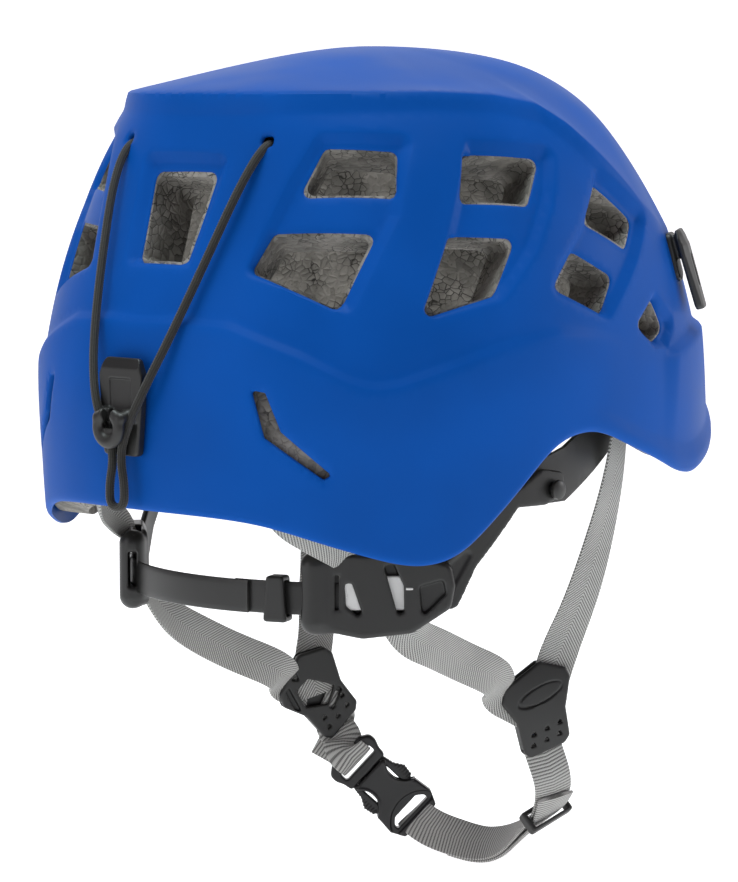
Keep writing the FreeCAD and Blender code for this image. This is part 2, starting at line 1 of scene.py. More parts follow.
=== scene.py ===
"""Looks of a climbing helmet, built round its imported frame.

Shapes are worked out in millimetres in the row frame, +Z up, front towards -Y and the wearer's
right towards -X, and turned into metres when a mesh is made. Angles called turn run from the
rear middle line, positive towards the wearer's right.
"""
import logging
import math
from collections.abc import Callable, Iterable, Sequence
from dataclasses import dataclass, field
from enum import Enum

import bpy
import numpy as np
from mathutils import Matrix, Vector
from mathutils.geometry import delaunay_2d_cdt
from mathutils.kdtree import KDTree


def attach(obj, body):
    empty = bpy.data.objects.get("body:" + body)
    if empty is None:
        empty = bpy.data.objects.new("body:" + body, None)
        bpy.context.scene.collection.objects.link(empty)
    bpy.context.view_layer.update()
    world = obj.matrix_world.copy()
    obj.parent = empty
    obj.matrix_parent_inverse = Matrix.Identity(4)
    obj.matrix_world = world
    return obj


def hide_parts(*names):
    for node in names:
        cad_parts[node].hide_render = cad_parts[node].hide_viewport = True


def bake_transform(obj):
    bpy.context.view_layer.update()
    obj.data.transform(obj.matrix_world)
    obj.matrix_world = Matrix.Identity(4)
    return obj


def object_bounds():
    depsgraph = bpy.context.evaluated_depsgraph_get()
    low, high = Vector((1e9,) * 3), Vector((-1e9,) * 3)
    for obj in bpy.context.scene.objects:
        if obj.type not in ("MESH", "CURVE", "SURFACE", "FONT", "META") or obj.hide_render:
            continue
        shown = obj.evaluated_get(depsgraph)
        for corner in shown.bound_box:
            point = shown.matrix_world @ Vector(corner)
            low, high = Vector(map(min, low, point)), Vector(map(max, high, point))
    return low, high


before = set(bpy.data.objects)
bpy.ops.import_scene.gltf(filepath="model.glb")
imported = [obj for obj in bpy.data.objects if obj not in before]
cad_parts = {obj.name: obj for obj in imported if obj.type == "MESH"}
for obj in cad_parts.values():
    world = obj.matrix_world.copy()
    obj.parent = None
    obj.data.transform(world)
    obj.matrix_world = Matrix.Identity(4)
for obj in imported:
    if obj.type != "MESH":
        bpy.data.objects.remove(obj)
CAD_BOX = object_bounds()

LOG = logging.getLogger("helmet")
MM = 0.001
TAU = 2 * math.pi
Array = np.ndarray
Field = Callable[[Array], Array]
Point = tuple[float, float, float]
Station = tuple[Point, Point]


class Side(Enum):
    """The wearer's right or left, by the sign of turn."""

    RIGHT = 1
    LEFT = -1

    @property
    def label(self) -> str:
        """The word used in piece names."""
        return self.name.lower()


class Weave(Enum):
    """How a strap is woven: the slope of its ribs across the width."""

    HERRINGBONE = 1.0
    CROSS_RIB = 0.12


# --- node helpers
class Wiring:
    """Adds and links nodes in one tree."""

    def __init__(self, tree: bpy.types.NodeTree) -> None:
        """Keep the tree that is being wired."""
        self.tree = tree

    def add(self, kind: str, inputs: dict | None = None, **settings: object) -> bpy.types.Node:
        """Add a node.

        Args:
            kind: Node type without its ShaderNode prefix.
            inputs: Socket name or index to a constant or to another node's output.
            settings: Properties of the node.

        Returns:
            The new node.
        """
        node = self.tree.nodes.new("ShaderNode" + kind)
        for name, value in settings.items():
            setattr(node, name, value)
        for key, value in (inputs or {}).items():
            self.feed(node.inputs[key], value)
        return node

    def feed(self, socket: bpy.types.NodeSocket, value: object) -> None:
        """Link a socket to an output, or set it to a constant."""
        if isinstance(value, bpy.types.NodeSocket):
            self.tree.links.new(value, socket)
        else:
            socket.default_value = value

    def math(self, operation: str, a: object, b: object = 0.0, c: object = 0.0) -> object:
        """A Math node's output."""
        return self.add("Math", {0: a, 1: b, 2: c}, operation=operation).outputs[0]

    def span(self, value: object, low: float, high: float, to_low: float, to_high: float) -> object:
        """A value moved from one range to another, clamped, with a smooth step."""
        inputs = {0: value, 1: low, 2: high, 3: to_low, 4: to_high}
        return self.add("MapRange", inputs, interpolation_type="SMOOTHSTEP").outputs[0]

    def mix(self, share: object, a: object, b: object) -> object:
        """A colour mixed from two by a share."""
        node = self.add("Mix", data_type="RGBA")
        self.feed(node.inputs[0], share)
        self.feed(node.inputs[6], a)
        self.feed(node.inputs[7], b)
        return node.outputs[2]

    def noise(self, where: object, scale: float, detail: float = 3.0) -> object:
        """A noise value over object space."""
        return self.add("TexNoise", {"Vector": where, "Scale": scale, "Detail": detail}).outputs[0]


def new_group(name: str, inputs: dict[str, float | None], outputs: Sequence[str]) -> tuple:
    """Start a shader node group.

    Args:
        name: The group's name.
        inputs: Input names, with a number's default, or None for a vector.
        outputs: Names of the number outputs.

    Returns:
        The tree, its wiring, the input node and the output node.
    """
    tree = bpy.data.node_groups.new(name, "ShaderNodeTree")
    for label, default in inputs.items():
        kind = "NodeSocketVector" if default is None else "NodeSocketFloat"
        socket = tree.interface.new_socket(label, in_out="INPUT", socket_type=kind)
        if default is not None:
            socket.default_value = default
    for label in outputs:
        tree.interface.new_socket(label, in_out="OUTPUT", socket_type="NodeSocketFloat")
    source = tree.nodes.new("NodeGroupInput")
    drain = tree.nodes.new("NodeGroupOutput")
    return tree, Wiring(tree), source, drain


def grain_group() -> bpy.types.NodeTree:
    """Fine spark-eroded grain of a moulding: a height and a slow variation."""
    tree, w, source, drain = new_group("moulded_grain", {"Where": None, "Size": 900.0}, ("Height", "Drift"))
    fine = w.add("TexNoise", {"Vector": source.outputs[0], "Scale": source.outputs[1], "Detail": 4.0})
    w.feed(drain.inputs[0], fine.outputs[0])
    w.feed(drain.inputs[1], w.noise(source.outputs[0], 18.0, 2.0))
    return tree


def wear_group() -> bpy.types.NodeTree:
    """Mask of rubbed convex edges, broken up by noise."""
    tree, w, source, drain = new_group("edge_wear", {"Where": None, "Amount": 0.5}, ("Mask",))
    edge = w.span(w.add("NewGeometry").outputs["Pointiness"], 0.52, 0.60, 0.0, 1.0)
    rubbed = w.math("MULTIPLY", edge, w.span(w.noise(source.outputs[0], 160.0), 0.35, 0.7, 0.2, 1.0))
    w.feed(drain.inputs[0], w.math("MULTIPLY", rubbed, source.outputs[1]))
    return tree


def dust_group() -> bpy.types.NodeTree:
    """Mask of faint dust on upward faces and in hollows."""
    tree, w, source, drain = new_group("dust", {"Where": None, "Amount": 0.2}, ("Mask",))
    geometry = w.add("NewGeometry")
    up = w.add("SeparateXYZ", {0: geometry.outputs["Normal"]}).outputs[2]
    lying = w.span(up, 0.1, 1.0, 0.0, 1.0)
    hollow = w.span(geometry.outputs["Pointiness"], 0.5, 0.42, 0.0, 0.8)
    patchy = w.span(w.noise(source.outputs[0], 45.0, 5.0), 0.4, 0.75, 0.0, 1.0)
    both = w.math("MAXIMUM", w.math("MULTIPLY", lying, 0.5), hollow)
    w.feed(drain.inputs[0], w.math("MULTIPLY", w.math("MULTIPLY", both, patchy), source.outputs[1]))
    return tree


def weave_group() -> bpy.types.NodeTree:
    """Narrow woven ribs on a strap's own width and length, both in millimetres, and a Shade share that
    paints shade into the grooves between them.
    """
    inputs = {"Where": None, "Rib": 0.75, "Slope": 1.0, "Column": 7.5}
    tree, w, source, drain = new_group("strap_weave", inputs, ("Height", "Shade"))
    where, rib, slope, column = source.outputs[:4]
    axes = w.add("SeparateXYZ", {0: where})
    across, along = axes.outputs[0], axes.outputs[1]
    folded = w.math("PINGPONG", across, column)
    phase = w.math("DIVIDE", w.math("ADD", along, w.math("MULTIPLY", folded, slope)), rib)
    ribs = w.math("SINE", w.math("MULTIPLY", phase, TAU))
    threads = w.math("SINE", w.math("MULTIPLY", across, TAU / 0.62))
    crossing = w.math("MULTIPLY_ADD", threads, 0.28, w.math("MULTIPLY", ribs, 0.72))
    height = w.math("MULTIPLY_ADD", crossing, 0.5, 0.5)
    w.feed(drain.inputs[0], height)
    # Shade: the rib height as a colour share, dark in the grooves, as painted shade between the ribs.
    w.feed(drain.inputs[1], w.span(height, 0.1, 0.75, 0.0, 1.0))
    return tree


@dataclass
class Effects:
    """The shared shader node groups, each built once."""

    grain: bpy.types.NodeTree = field(default_factory=grain_group)
    wear: bpy.types.NodeTree = field(default_factory=wear_group)
    dust: bpy.types.NodeTree = field(default_factory=dust_group)
    weave: bpy.types.NodeTree = field(default_factory=weave_group)


def start_material(name: str, fixed: dict[str, object]) -> tuple:
    """Begin a material.

    Args:
        name: The material's name.
        fixed: Principled BSDF sockets that are the same all over.

    Returns:
        The material, its wiring, its Principled BSDF and the object-space coordinate.
    """
    material = bpy.data.materials.new(name)
    material.use_nodes = True
    w = Wiring(material.node_tree)
    shader = material.node_tree.nodes["Principled BSDF"]
    for socket, value in fixed.items():
        shader.inputs[socket].default_value = value
    return material, w, shader, w.add("TexCoord").outputs["Object"]


def add_group(w: Wiring, tree: bpy.types.NodeTree, inputs: dict) -> bpy.types.Node:
    """Place a node group in a material with its own values."""
    node = w.add("Group", node_tree=tree)
    for key, value in inputs.items():
        w.feed(node.inputs[key], value)
    return node


def srgb(red: int, green: int, blue: int) -> tuple[float, float, float, float]:
    """A display colour as a scene-linear one."""
    parts = [c / 255 for c in (red, green, blue)]
    linear = [c / 12.92 if c <= 0.04045 else ((c + 0.055) / 1.055) ** 2.4 for c in parts]
    return (*linear, 1.0)


# --- finishes
@dataclass(frozen=True)
class MouldedFinish:
    """Injection-moulded plastic, satin or matt."""

    name: str
    colour: tuple[int, int, int]
    worn: tuple[int, int, int]
    roughness: float = 0.42
    grain_size: float = 2600.0
    grain_depth: float = 0.00001
    wear: float = 0.5
    dust: float = 0.25
    specular: float = 0.5

    def build(self, effects: Effects) -> bpy.types.Material:
        """Make the material."""
        fixed = {"IOR": 1.5, "Specular IOR Level": self.specular}
        material, w, shader, where = start_material(self.name, fixed)
        grain = add_group(w, effects.grain, {"Where": where, "Size": self.grain_size})
        wear = add_group(w, effects.wear, {"Where": where, "Amount": self.wear})
        dust = add_group(w, effects.dust, {"Where": where, "Amount": self.dust})
        base = srgb(*self.colour)
        deep = tuple(0.86 * c for c in base[:3]) + (1.0,)
        tinted = w.mix(w.span(grain.outputs["Drift"], 0.3, 0.7, 0.0, 1.0), deep, base)
        rubbed = w.mix(wear.outputs[0], tinted, srgb(*self.worn))
        w.feed(shader.inputs["Base Color"], w.mix(dust.outputs[0], rubbed, srgb(150, 146, 138)))
        low, high = self.roughness - 0.05, self.roughness + 0.07
        rough = w.span(grain.outputs["Drift"], 0.3, 0.7, low, high)
        dusty = w.math("MULTIPLY_ADD", dust.outputs[0], 0.4, rough)
        w.feed(shader.inputs["Roughness"], dusty)
        inputs = {"Height": grain.outputs["Height"], "Distance": self.grain_depth, "Strength": 0.6}
        w.feed(shader.inputs["Normal"], w.add("Bump", inputs).outputs[0])
        return material


@dataclass(frozen=True)
class FoamFinish:
    """Expanded bead foam: pressed cells with dark seams and a mottled tone."""

    name: str = "bead_foam"
    cells: float = 330.0

    def build(self, effects: Effects) -> bpy.types.Material:
        """Make the material."""
        material, w, shader, where = start_material(self.name, {"IOR": 1.45, "Specular IOR Level": 0.3})
        warp = w.add("TexNoise", {"Vector": where, "Scale": 120.0, "Detail": 2.0})
        bent = w.add("VectorMath", {0: warp.outputs["Color"], 1: (0.004,) * 3}, operation="MULTIPLY")
        moved = w.add("VectorMath", {0: where, 1: bent.outputs[0]}, operation="ADD").outputs[0]
        inputs = {"Vector": moved, "Scale": self.cells}
        seam = w.add("TexVoronoi", inputs, feature="DISTANCE_TO_EDGE").outputs["Distance"]
        tone = w.add("TexVoronoi", inputs).outputs["Color"]
        lightness = w.add("SeparateColor", {0: tone}).outputs[0]
        blotch = w.span(w.noise(where, 42.0, 6.0), 0.36, 0.66, 0.0, 1.0)
        grey = w.mix(w.math("MULTIPLY_ADD", lightness, 0.35, w.math("MULTIPLY", blotch, 0.65)),
                     srgb(84, 82, 77), srgb(160, 156, 149))
        crack = w.span(w.noise(where, 70.0, 4.0), 0.42, 0.6, 0.0, 1.0)
        line = w.math("MULTIPLY", w.span(seam, 0.0, 0.09, 1.0, 0.0), crack)
        speck = w.span(w.noise(where, 900.0, 2.0), 0.6, 0.75, 0.0, 0.5)
        marked = w.mix(w.math("MAXIMUM", line, speck), grey, srgb(48, 46, 43))
        dust = add_group(w, effects.dust, {"Where": where, "Amount": 0.2})
        w.feed(shader.inputs["Base Color"], w.mix(dust.outputs[0], marked, srgb(168, 165, 156)))
        grain = add_group(w, effects.grain, {"Where": where, "Size": 700.0})
        w.feed(shader.inputs["Roughness"], w.span(grain.outputs["Drift"], 0.3, 0.7, 0.62, 0.8))
        round_cell = w.span(seam, 0.0, 0.3, 0.0, 1.0)
        height = w.math("MULTIPLY_ADD", grain.outputs["Height"], 0.25, round_cell)
        bump = w.add("Bump", {"Height": height, "Distance": 0.0004, "Strength": 0.7})
        w.feed(shader.inputs["Normal"], bump.outputs[0])
        return material


@dataclass(frozen=True)
class WebbingFinish:
    """Woven polyester strap with ribs that turn back at the middle of its width, its grooves darkened with
    painted shade.
    """

    name: str
    weave: Weave
    # light is the yarn's own grey on the rib tops; dark is painted shade in the grooves between the ribs.
    light: tuple[int, int, int] = (186, 186, 183)
    dark: tuple[int, int, int] = (72, 72, 70)
    rib: float = 1.35

    def build(self, effects: Effects) -> bpy.types.Material:
        """Make the material."""
        fixed = {"Sheen Weight": 0.25, "Sheen Roughness": 0.5, "Specular IOR Level": 0.3}
        material, w, shader, where = start_material(self.name, fixed)
        lengths = w.add("UVMap", uv_map="strap").outputs[0]
        inputs = {"Where": lengths, "Rib": self.rib, "Slope": self.weave.value, "Column": 7.5}
        weave = add_group(w, effects.weave, inputs)
        # The yarn's grey darkened towards the grooves by the weave's Shade share: painted shade between the
        # ribs.
        shade = w.math("MULTIPLY_ADD", w.noise(where, 60.0, 4.0), 0.25, weave.outputs["Shade"])
        woven = w.mix(w.math("MINIMUM", shade, 1.0), srgb(*self.dark), srgb(*self.light))
        dust = add_group(w, effects.dust, {"Where": where, "Amount": 0.25})
        w.feed(shader.inputs["Base Color"], w.mix(dust.outputs[0], woven, srgb(150, 143, 130)))
        w.feed(shader.inputs["Roughness"], w.span(weave.outputs["Height"], 0.0, 1.0, 0.85, 0.6))
        bump = w.add("Bump", {"Height": weave.outputs["Height"], "Distance": 0.00022, "Strength": 0.9})
        w.feed(shader.inputs["Normal"], bump.outputs[0])
        return material


@dataclass(frozen=True)
class ElasticFinish:
    """Braided black elastic cord: small diamonds round and along the cord, lighter on the braid's peaks and
    darker in its hollows as painted shade.
    """

    name: str = "braided_elastic"

    def build(self, effects: Effects) -> bpy.types.Material:
        """Make the material."""
        fixed = {"Sheen Weight": 0.2, "Specular IOR Level": 0.35}
        material, w, shader, where = start_material(self.name, fixed)
        axes = w.add("SeparateXYZ", {0: w.add("UVMap", uv_map="strap").outputs[0]})
        around, along = axes.outputs[0], axes.outputs[1]
        left = w.math("SINE", w.math("MULTIPLY", w.math("ADD", along, around), TAU))
        right = w.math("SINE", w.math("MULTIPLY", w.math("SUBTRACT", along, around), TAU))
        braid = w.math("MULTIPLY_ADD", w.math("MULTIPLY", left, right), 0.5, 0.5)
        dust = add_group(w, effects.dust, {"Where": where, "Amount": 0.2})
        # yarn: the cord's black, darker in the braid's hollows as painted shade.
        yarn = w.mix(braid, srgb(16, 16, 15), srgb(52, 51, 47))
        w.feed(shader.inputs["Base Color"], w.mix(dust.outputs[0], yarn, srgb(120, 116, 108)))
        w.feed(shader.inputs["Roughness"], w.span(braid, 0.0, 1.0, 0.8, 0.55))
        bump = w.add("Bump", {"Height": braid, "Distance": 0.0002, "Strength": 0.8})
        w.feed(shader.inputs["Normal"], bump.outputs[0])
        return material


@dataclass(frozen=True)
class KnitFinish:
    """Brushed black knit over a comfort pad."""

    name: str = "brushed_knit"

    def build(self, effects: Effects) -> bpy.types.Material:
        """Make the material."""
        fixed = {"Sheen Weight": 0.5, "Sheen Roughness": 0.4, "Specular IOR Level": 0.2}
        material, w, shader, where = start_material(self.name, fixed)
        loops = w.add("TexVoronoi", {"Vector": where, "Scale": 1400.0}).outputs["Distance"]
        grain = add_group(w, effects.grain, {"Where": where, "Size": 1800.0})
        dust = add_group(w, effects.dust, {"Where": where, "Amount": 0.3})
        fluff = w.math("MULTIPLY_ADD", grain.outputs["Height"], 0.6, w.math("MULTIPLY", loops, 0.5))
        knit = w.mix(fluff, srgb(46, 46, 47), srgb(20, 20, 21))
        w.feed(shader.inputs["Base Color"], w.mix(dust.outputs[0], knit, srgb(110, 106, 100)))
        w.feed(shader.inputs["Roughness"], w.span(grain.outputs["Drift"], 0.3, 0.7, 0.85, 0.97))
        bump = w.add("Bump", {"Height": fluff, "Distance": 0.0003, "Strength": 0.7})
        w.feed(shader.inputs["Normal"], bump.outputs[0])
        return material


@dataclass(frozen=True)
class SteelFinish:
    """Plain turned steel with fine scratches."""

    name: str = "plain_steel"

    def build(self, effects: Effects) -> bpy.types.Material:
        """Make the material."""
        material, w, shader, where = start_material(self.name, {"Metallic": 1.0})
        grain = add_group(w, effects.grain, {"Where": where, "Size": 1500.0})
        dust = add_group(w, effects.dust, {"Where": where, "Amount": 0.3})
        tone = w.mix(grain.outputs["Drift"], srgb(150, 150, 152), srgb(186, 186, 188))
        w.feed(shader.inputs["Base Color"], w.mix(dust.outputs[0], tone, srgb(110, 106, 100)))
        w.feed(shader.inputs["Roughness"], w.span(grain.outputs["Height"], 0.3, 0.7, 0.28, 0.45))
        bump = w.add("Bump", {"Height": grain.outputs["Height"], "Distance": 0.00002, "Strength": 0.5})
        w.feed(shader.inputs["Normal"], bump.outputs[0])
        return material


class Slot(Enum):
    """Names of material slots."""

    SHELL = "shell"
    FOAM = "foam"
    PADDING = "padding"
    WEBBING = "webbing"
    PLASTIC = "black_plastic"
    STEEL = "steel"
    ELASTIC = "elastic"


@dataclass
class Palette:
    """Every finish of the helmet, built once."""

    effects: Effects

    def __post_init__(self) -> None:
        """Build the materials."""
        shell = MouldedFinish(
            "satin_shell", (8, 82, 172), (60, 115, 190), 0.46, 1500.0, 0.000012, 0.25, 0.03, 0.06
        )
        black = MouldedFinish("black_nylon", (30, 30, 29), (80, 79, 76), 0.42, 2600.0, 0.00002, 0.55, 0.22)
        gloss = MouldedFinish("buckle_acetal", (18, 18, 19), (74, 74, 74), 0.33, 3200.0, 0.000012, 0.6, 0.15)
        white = MouldedFinish("white_marking", (226, 226, 224), (240, 240, 240), 0.5)
        self.shell = shell.build(self.effects)
        self.black = black.build(self.effects)
        self.gloss = gloss.build(self.effects)
        self.white = white.build(self.effects)
        self.foam = FoamFinish().build(self.effects)
        self.webbing = WebbingFinish("herringbone_webbing", Weave.HERRINGBONE).build(self.effects)
        self.ribbed = WebbingFinish("ribbed_webbing", Weave.CROSS_RIB).build(self.effects)
        self.elastic = ElasticFinish().build(self.effects)
        self.knit = KnitFinish().build(self.effects)
        self.steel = SteelFinish().build(self.effects)


# --- mesh helpers
def make_piece(name: str, points: Array, faces: Sequence, crease_degrees: float = 180.0) -> bpy.types.Object:
    """Make a mesh object from points in millimetres.

    Args:
        name: The piece's name.
        points: Corner positions.
        faces: Corner indices of each face.
        crease_degrees: Edges sharper than this stay sharp.

    Returns:
        The new object, at the origin.
    """
    mesh = bpy.data.meshes.new(name)
    mesh.from_pydata((np.asarray(points) * MM).tolist(), [], [tuple(f) for f in faces])
    mesh.validate()
    mesh.polygons.foreach_set("use_smooth", [True] * len(mesh.polygons))
    if crease_degrees < 180:
        mesh.set_sharp_from_angle(angle=math.radians(crease_degrees))
    piece = bpy.data.objects.new(name, mesh)
    bpy.context.scene.collection.objects.link(piece)
    return piece


def settle(piece: bpy.types.Object, material: bpy.types.Material, body: str,
           replaced: Iterable[str] = (), blended: tuple | None = None) -> bpy.types.Object:
    """Dress a piece, hide the CAD nodes that it stands for and hang it on its body, unless it is blended.

    Args:
        piece: The new piece.
        material: Its finish.
        body: The body that it rides on.
        replaced: CAD nodes that it stands for.
        blended: A second body and two points; if given, the piece's transform is baked in, it is left
            unattached, and no bend is made.

    Returns:
        The piece.
    """
    piece.data.materials.clear()
    piece.data.materials.append(material)
    if blended:
        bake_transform(piece)
    else:
        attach(piece, body)
    replaced = list(replaced)
    if replaced:
        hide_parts(*replaced)
    LOG.info("%s on %s, %d faces", piece.name, body, len(piece.data.polygons))
    return piece


def unit(v: Sequence[float]) -> Array:
    """A vector of length one."""
    a = np.asarray(v, float)
    return a / np.linalg.norm(a)


def smooth_line(points: Array, step: float) -> tuple[Array, Array]:
    """A natural cubic curve through points.

    Args:
        points: The points it passes.
        step: Spacing of the samples along it.

    Returns:
        The samples, and for each the index into points as a fraction.
    """
    points = np.asarray(points, float)
    spans = np.linalg.norm(np.diff(points, axis=0), axis=1)
    marks = np.concatenate([[0], np.cumsum(spans)])
    n = len(points)
    matrix = np.eye(n)
    right = np.zeros_like(points)
    for i in range(1, n - 1):
        matrix[i, i - 1:i + 2] = spans[i - 1], 2 * (spans[i - 1] + spans[i]), spans[i]
        slopes = (points[i + 1] - points[i]) / spans[i] - (points[i] - points[i - 1]) / spans[i - 1]
        right[i] = 6 * slopes
    bend = np.linalg.solve(matrix, right)
    at = np.linspace(0, marks[-1], max(int(marks[-1] / step), 2) + 1)
    k = np.clip(np.searchsorted(marks, at, side="right") - 1, 0, n - 2)
    h = spans[k][:, None]
    a = ((marks[k + 1] - at) / spans[k])[:, None]
    b = 1 - a
    curve = a * points[k] + b * points[k + 1]
    curve += ((a ** 3 - a) * bend[k] + (b ** 3 - b) * bend[k + 1]) * h ** 2 / 6
    return curve, k + b[:, 0]


def edge_distance(p: Array, corners: Array) -> Array:
    """Signed distance from flat points to a polygon, negative inside."""
    p = p[:, :2]
    corners = np.asarray(corners, float)
    nearest = np.full(len(p), 1e18)
    inside = np.zeros(len(p), bool)
    for a, b in zip(corners, np.roll(corners, -1, axis=0)):
        edge = b - a
        share = np.clip(((p - a) @ edge) / (edge @ edge), 0, 1)
        nearest = np.minimum(nearest, ((p - a - share[:, None] * edge) ** 2).sum(1))
        crosses = (a[1] > p[:, 1]) != (b[1] > p[:, 1])
        if a[1] != b[1]:
            inside ^= crosses & (p[:, 0] < edge[0] * (p[:, 1] - a[1]) / edge[1] + a[0])
    return np.where(inside, -1, 1) * np.sqrt(nearest)


def inset(corners: Array, by: float) -> Array:
    """A polygon with every edge moved inwards."""
    corners = np.asarray(corners, float)
    x, y = corners.T
    turning = np.sign((x * np.roll(y, -1) - y * np.roll(x, -1)).sum())
    out = []
    for before, here, after in zip(np.roll(corners, 1, axis=0), corners, np.roll(corners, -1, axis=0)):
        a, b = unit(here - before), unit(after - here)
        na, nb = turning * np.array([-a[1], a[0]]), turning * np.array([-b[1], b[0]])
        out.append(here + (na + nb) * by / (1 + na @ nb))
    return np.array(out)


def rounded_ring(corners: Array, rounding: float, offset: float, step: float) -> Array:
    """Points round a polygon whose corners are rounded, moved outwards by an offset.

    Args:
        corners: The sharp polygon.
        rounding: Corner radius before the offset.
        offset: Outward distance.
        step: Spacing of the points.

    Returns:
        The flat points in order.
    """
    core = inset(corners, rounding)
    x, y = core.T
    if (x * np.roll(y, -1) - y * np.roll(x, -1)).sum() < 0:
        core = core[::-1]
    radius = rounding + offset
    ring = []
    count = len(core)
    for i in range(count):
        before, here, after = core[i - 1], core[i], core[(i + 1) % count]
        a, b = unit(here - before), unit(after - here)
        na, nb = np.array([a[1], -a[0]]), np.array([b[1], -b[0]])
        first, last = math.atan2(na[1], na[0]), math.atan2(nb[1], nb[0])
        sweep = (last - first + math.pi) % TAU - math.pi
        if sweep > 0 and radius > 0.05:
            parts = max(int(sweep * radius / step), 2)
            angles = first + sweep * np.arange(parts + 1) / parts
            arc = here + radius * np.stack([np.cos(angles), np.sin(angles)], 1)
        else:
            arc = [here + (na + nb) * radius / (1 + na @ nb)]
        ring.extend(arc)
        end = here + nb * radius
        follow = after + nb * radius
        parts = max(int(np.linalg.norm(follow - end) / step), 1)
        ring.extend(end + (follow - end) * k / parts for k in range(1, parts))
    return np.array(ring)


# --- solids by distance
def prism(outline: Sequence, low: float, high: float, edge: float = 0.6, corner: float = 1.5) -> Field:
    """An upright plate with rounded edges and corners, as a distance field."""
    core = inset(outline, corner)

    def measure(p: Array) -> Array:
        """Distance to the plate."""
        flat = edge_distance(p, core) - corner + edge
        level = np.abs(p[:, 2] - (low + high) / 2) - (high - low) / 2 + edge
        outside = np.hypot(np.maximum(flat, 0), np.maximum(level, 0))
        return outside + np.minimum(np.maximum(flat, level), 0) - edge

    return measure


def rod(a: Point, b: Point, radius: float) -> Field:
    """A rod with round ends."""
    a, b = np.array(a, float), np.array(b, float)

    def measure(p: Array) -> Array:
        """Distance to the rod."""
        share = np.clip(((p - a) @ (b - a)) / max((b - a) @ (b - a), 1e-9), 0, 1)
        return np.linalg.norm(p - a - share[:, None] * (b - a), axis=1) - radius

    return measure


def brick(centre: Point, size: Point, edge: float = 0.5) -> Field:
    """A box with rounded edges."""
    centre, half = np.array(centre, float), np.array(size, float) / 2

    def measure(p: Array) -> Array:
        """Distance to the box."""
        q = np.abs(p - centre) - half + edge
        outside = np.linalg.norm(np.maximum(q, 0), axis=1)
        return outside + np.minimum(q.max(axis=1), 0) - edge

    return measure


def soft_join(a: Array, b: Array, fillet: float) -> Array:
    """Two distances joined with a fillet."""
    h = np.clip(0.5 + 0.5 * (b - a) / fillet, 0, 1)
    return b * (1 - h) + a * h - fillet * h * (1 - h)


def soft_cut(a: Array, b: Array, fillet: float) -> Array:
    """One distance cut by another, with a rounded lip."""
    return -soft_join(-a, b, fillet)


def surface_of(measure: Field, low: Sequence[float], high: Sequence[float],
               step: float) -> tuple[Array, Array]:
    """The zero surface of a distance field, as one corner per crossed cell.

    Args:
        measure: The distance field.
        low: Lowest corner of the space searched.
        high: Highest corner of it.
        step: Size of a cell.

    Returns:
        The points and the quads between them.
    """
    low = np.asarray(low, float)
    counts = np.ceil((np.asarray(high, float) - low) / step).astype(int) + 1
    grid = np.stack(np.meshgrid(*(np.arange(c) for c in counts), indexing="ij"), -1)
    values = measure((low + grid * step).reshape(-1, 3)).reshape(counts)
    values = np.where(values == 0, 1e-9, values)
    cells = tuple(counts - 1)
    total, number = np.zeros((*cells, 3)), np.zeros(cells, int)
    for axis in range(3):
        others = [k for k in range(3) if k != axis]
        for corner in range(4):
            shift = [0, 0, 0]
            shift[others[0]], shift[others[1]] = corner & 1, corner >> 1
            near = tuple(slice(s, s + c) for s, c in zip(shift, cells))
            shift[axis] = 1
            far = tuple(slice(s, s + c) for s, c in zip(shift, cells))
            a, b = values[near], values[far]
            crossed = (a < 0) != (b < 0)
            place = np.zeros((*cells, 3))
            place[..., others[0]], place[..., others[1]] = corner & 1, corner >> 1
            place[..., axis] = np.where(crossed, a / np.where(crossed, a - b, 1), 0)
            total[crossed] += place[crossed]
            number[crossed] += 1
    used = number > 0
    index = np.full(cells, -1)
    index[used] = np.arange(used.sum())
    points = low + step * (grid[:-1, :-1, :-1][used] + total[used] / number[used][:, None])
    quads = []
    for axis in range(3):
        b_axis, c_axis = (axis + 1) % 3, (axis + 2) % 3
        inner = [slice(1, c) for c in cells]
        inner[axis] = slice(0, cells[axis])
        far = list(inner)
        far[axis] = slice(1, cells[axis] + 1)
        a, b = values[tuple(inner)], values[tuple(far)]
        at = np.argwhere((a < 0) != (b < 0))
        leaving = (a < 0)[tuple(at.T)]
        at += [0 if k == axis else 1 for k in range(3)]
        ring = []
        for db, dc in ((0, 0), (1, 0), (1, 1), (0, 1)):
            cell = at.copy()
            cell[:, b_axis] -= db
            cell[:, c_axis] -= dc
            ring.append(index[tuple(cell.T)])
        ring = np.stack(ring, 1)
        ring[~leaving] = ring[~leaving][:, ::-1]
        quads.append(ring)
    return points, np.concatenate(quads)


def relax(points: Array, quads: Array, rounds: int) -> Array:
    """Points drawn towards their neighbours, and back out, so that edges round off evenly."""
    pairs = np.concatenate([quads[:, [0, 1]], quads[:, [1, 2]], quads[:, [2, 3]], quads[:, [3, 0]]])
    pairs = np.concatenate([pairs, pairs[:, ::-1]])
    count = np.bincount(pairs[:, 0], minlength=len(points))[:, None]
    for k in range(rounds * 2):
        mean = np.zeros_like(points)
        for axis in range(3):
            mean[:, axis] = np.bincount(pairs[:, 0], points[pairs[:, 1], axis], len(points))
        pull = 0.5 if k % 2 == 0 else -0.35
        points = points + pull * (mean / np.maximum(count, 1) - points)
    return points


@dataclass
class Moulding:
    """A moulded piece described by a distance field in its own axes."""

    name: str
    measure: Field
    low: Point
    high: Point
    step: float = 0.4
    rounds: int = 2

    def build(self, place: Array | None = None, mirror: bool = False) -> bpy.types.Object:
        """Make the mesh.

        Args:
            place: 4 by 4 matrix from its own axes to the helmet's.
            mirror: Whether it is the left-hand copy of a right-hand piece.

        Returns:
            The piece.
        """
        points, quads = surface_of(self.measure, self.low, self.high, self.step)
        points = relax(points, quads, self.rounds)
        if place is not None:
            points = points @ place[:3, :3].T + place[:3, 3]
        if mirror:
            points = points * [-1, 1, 1]
            quads = quads[:, ::-1]
        return make_piece(self.name, points, quads)


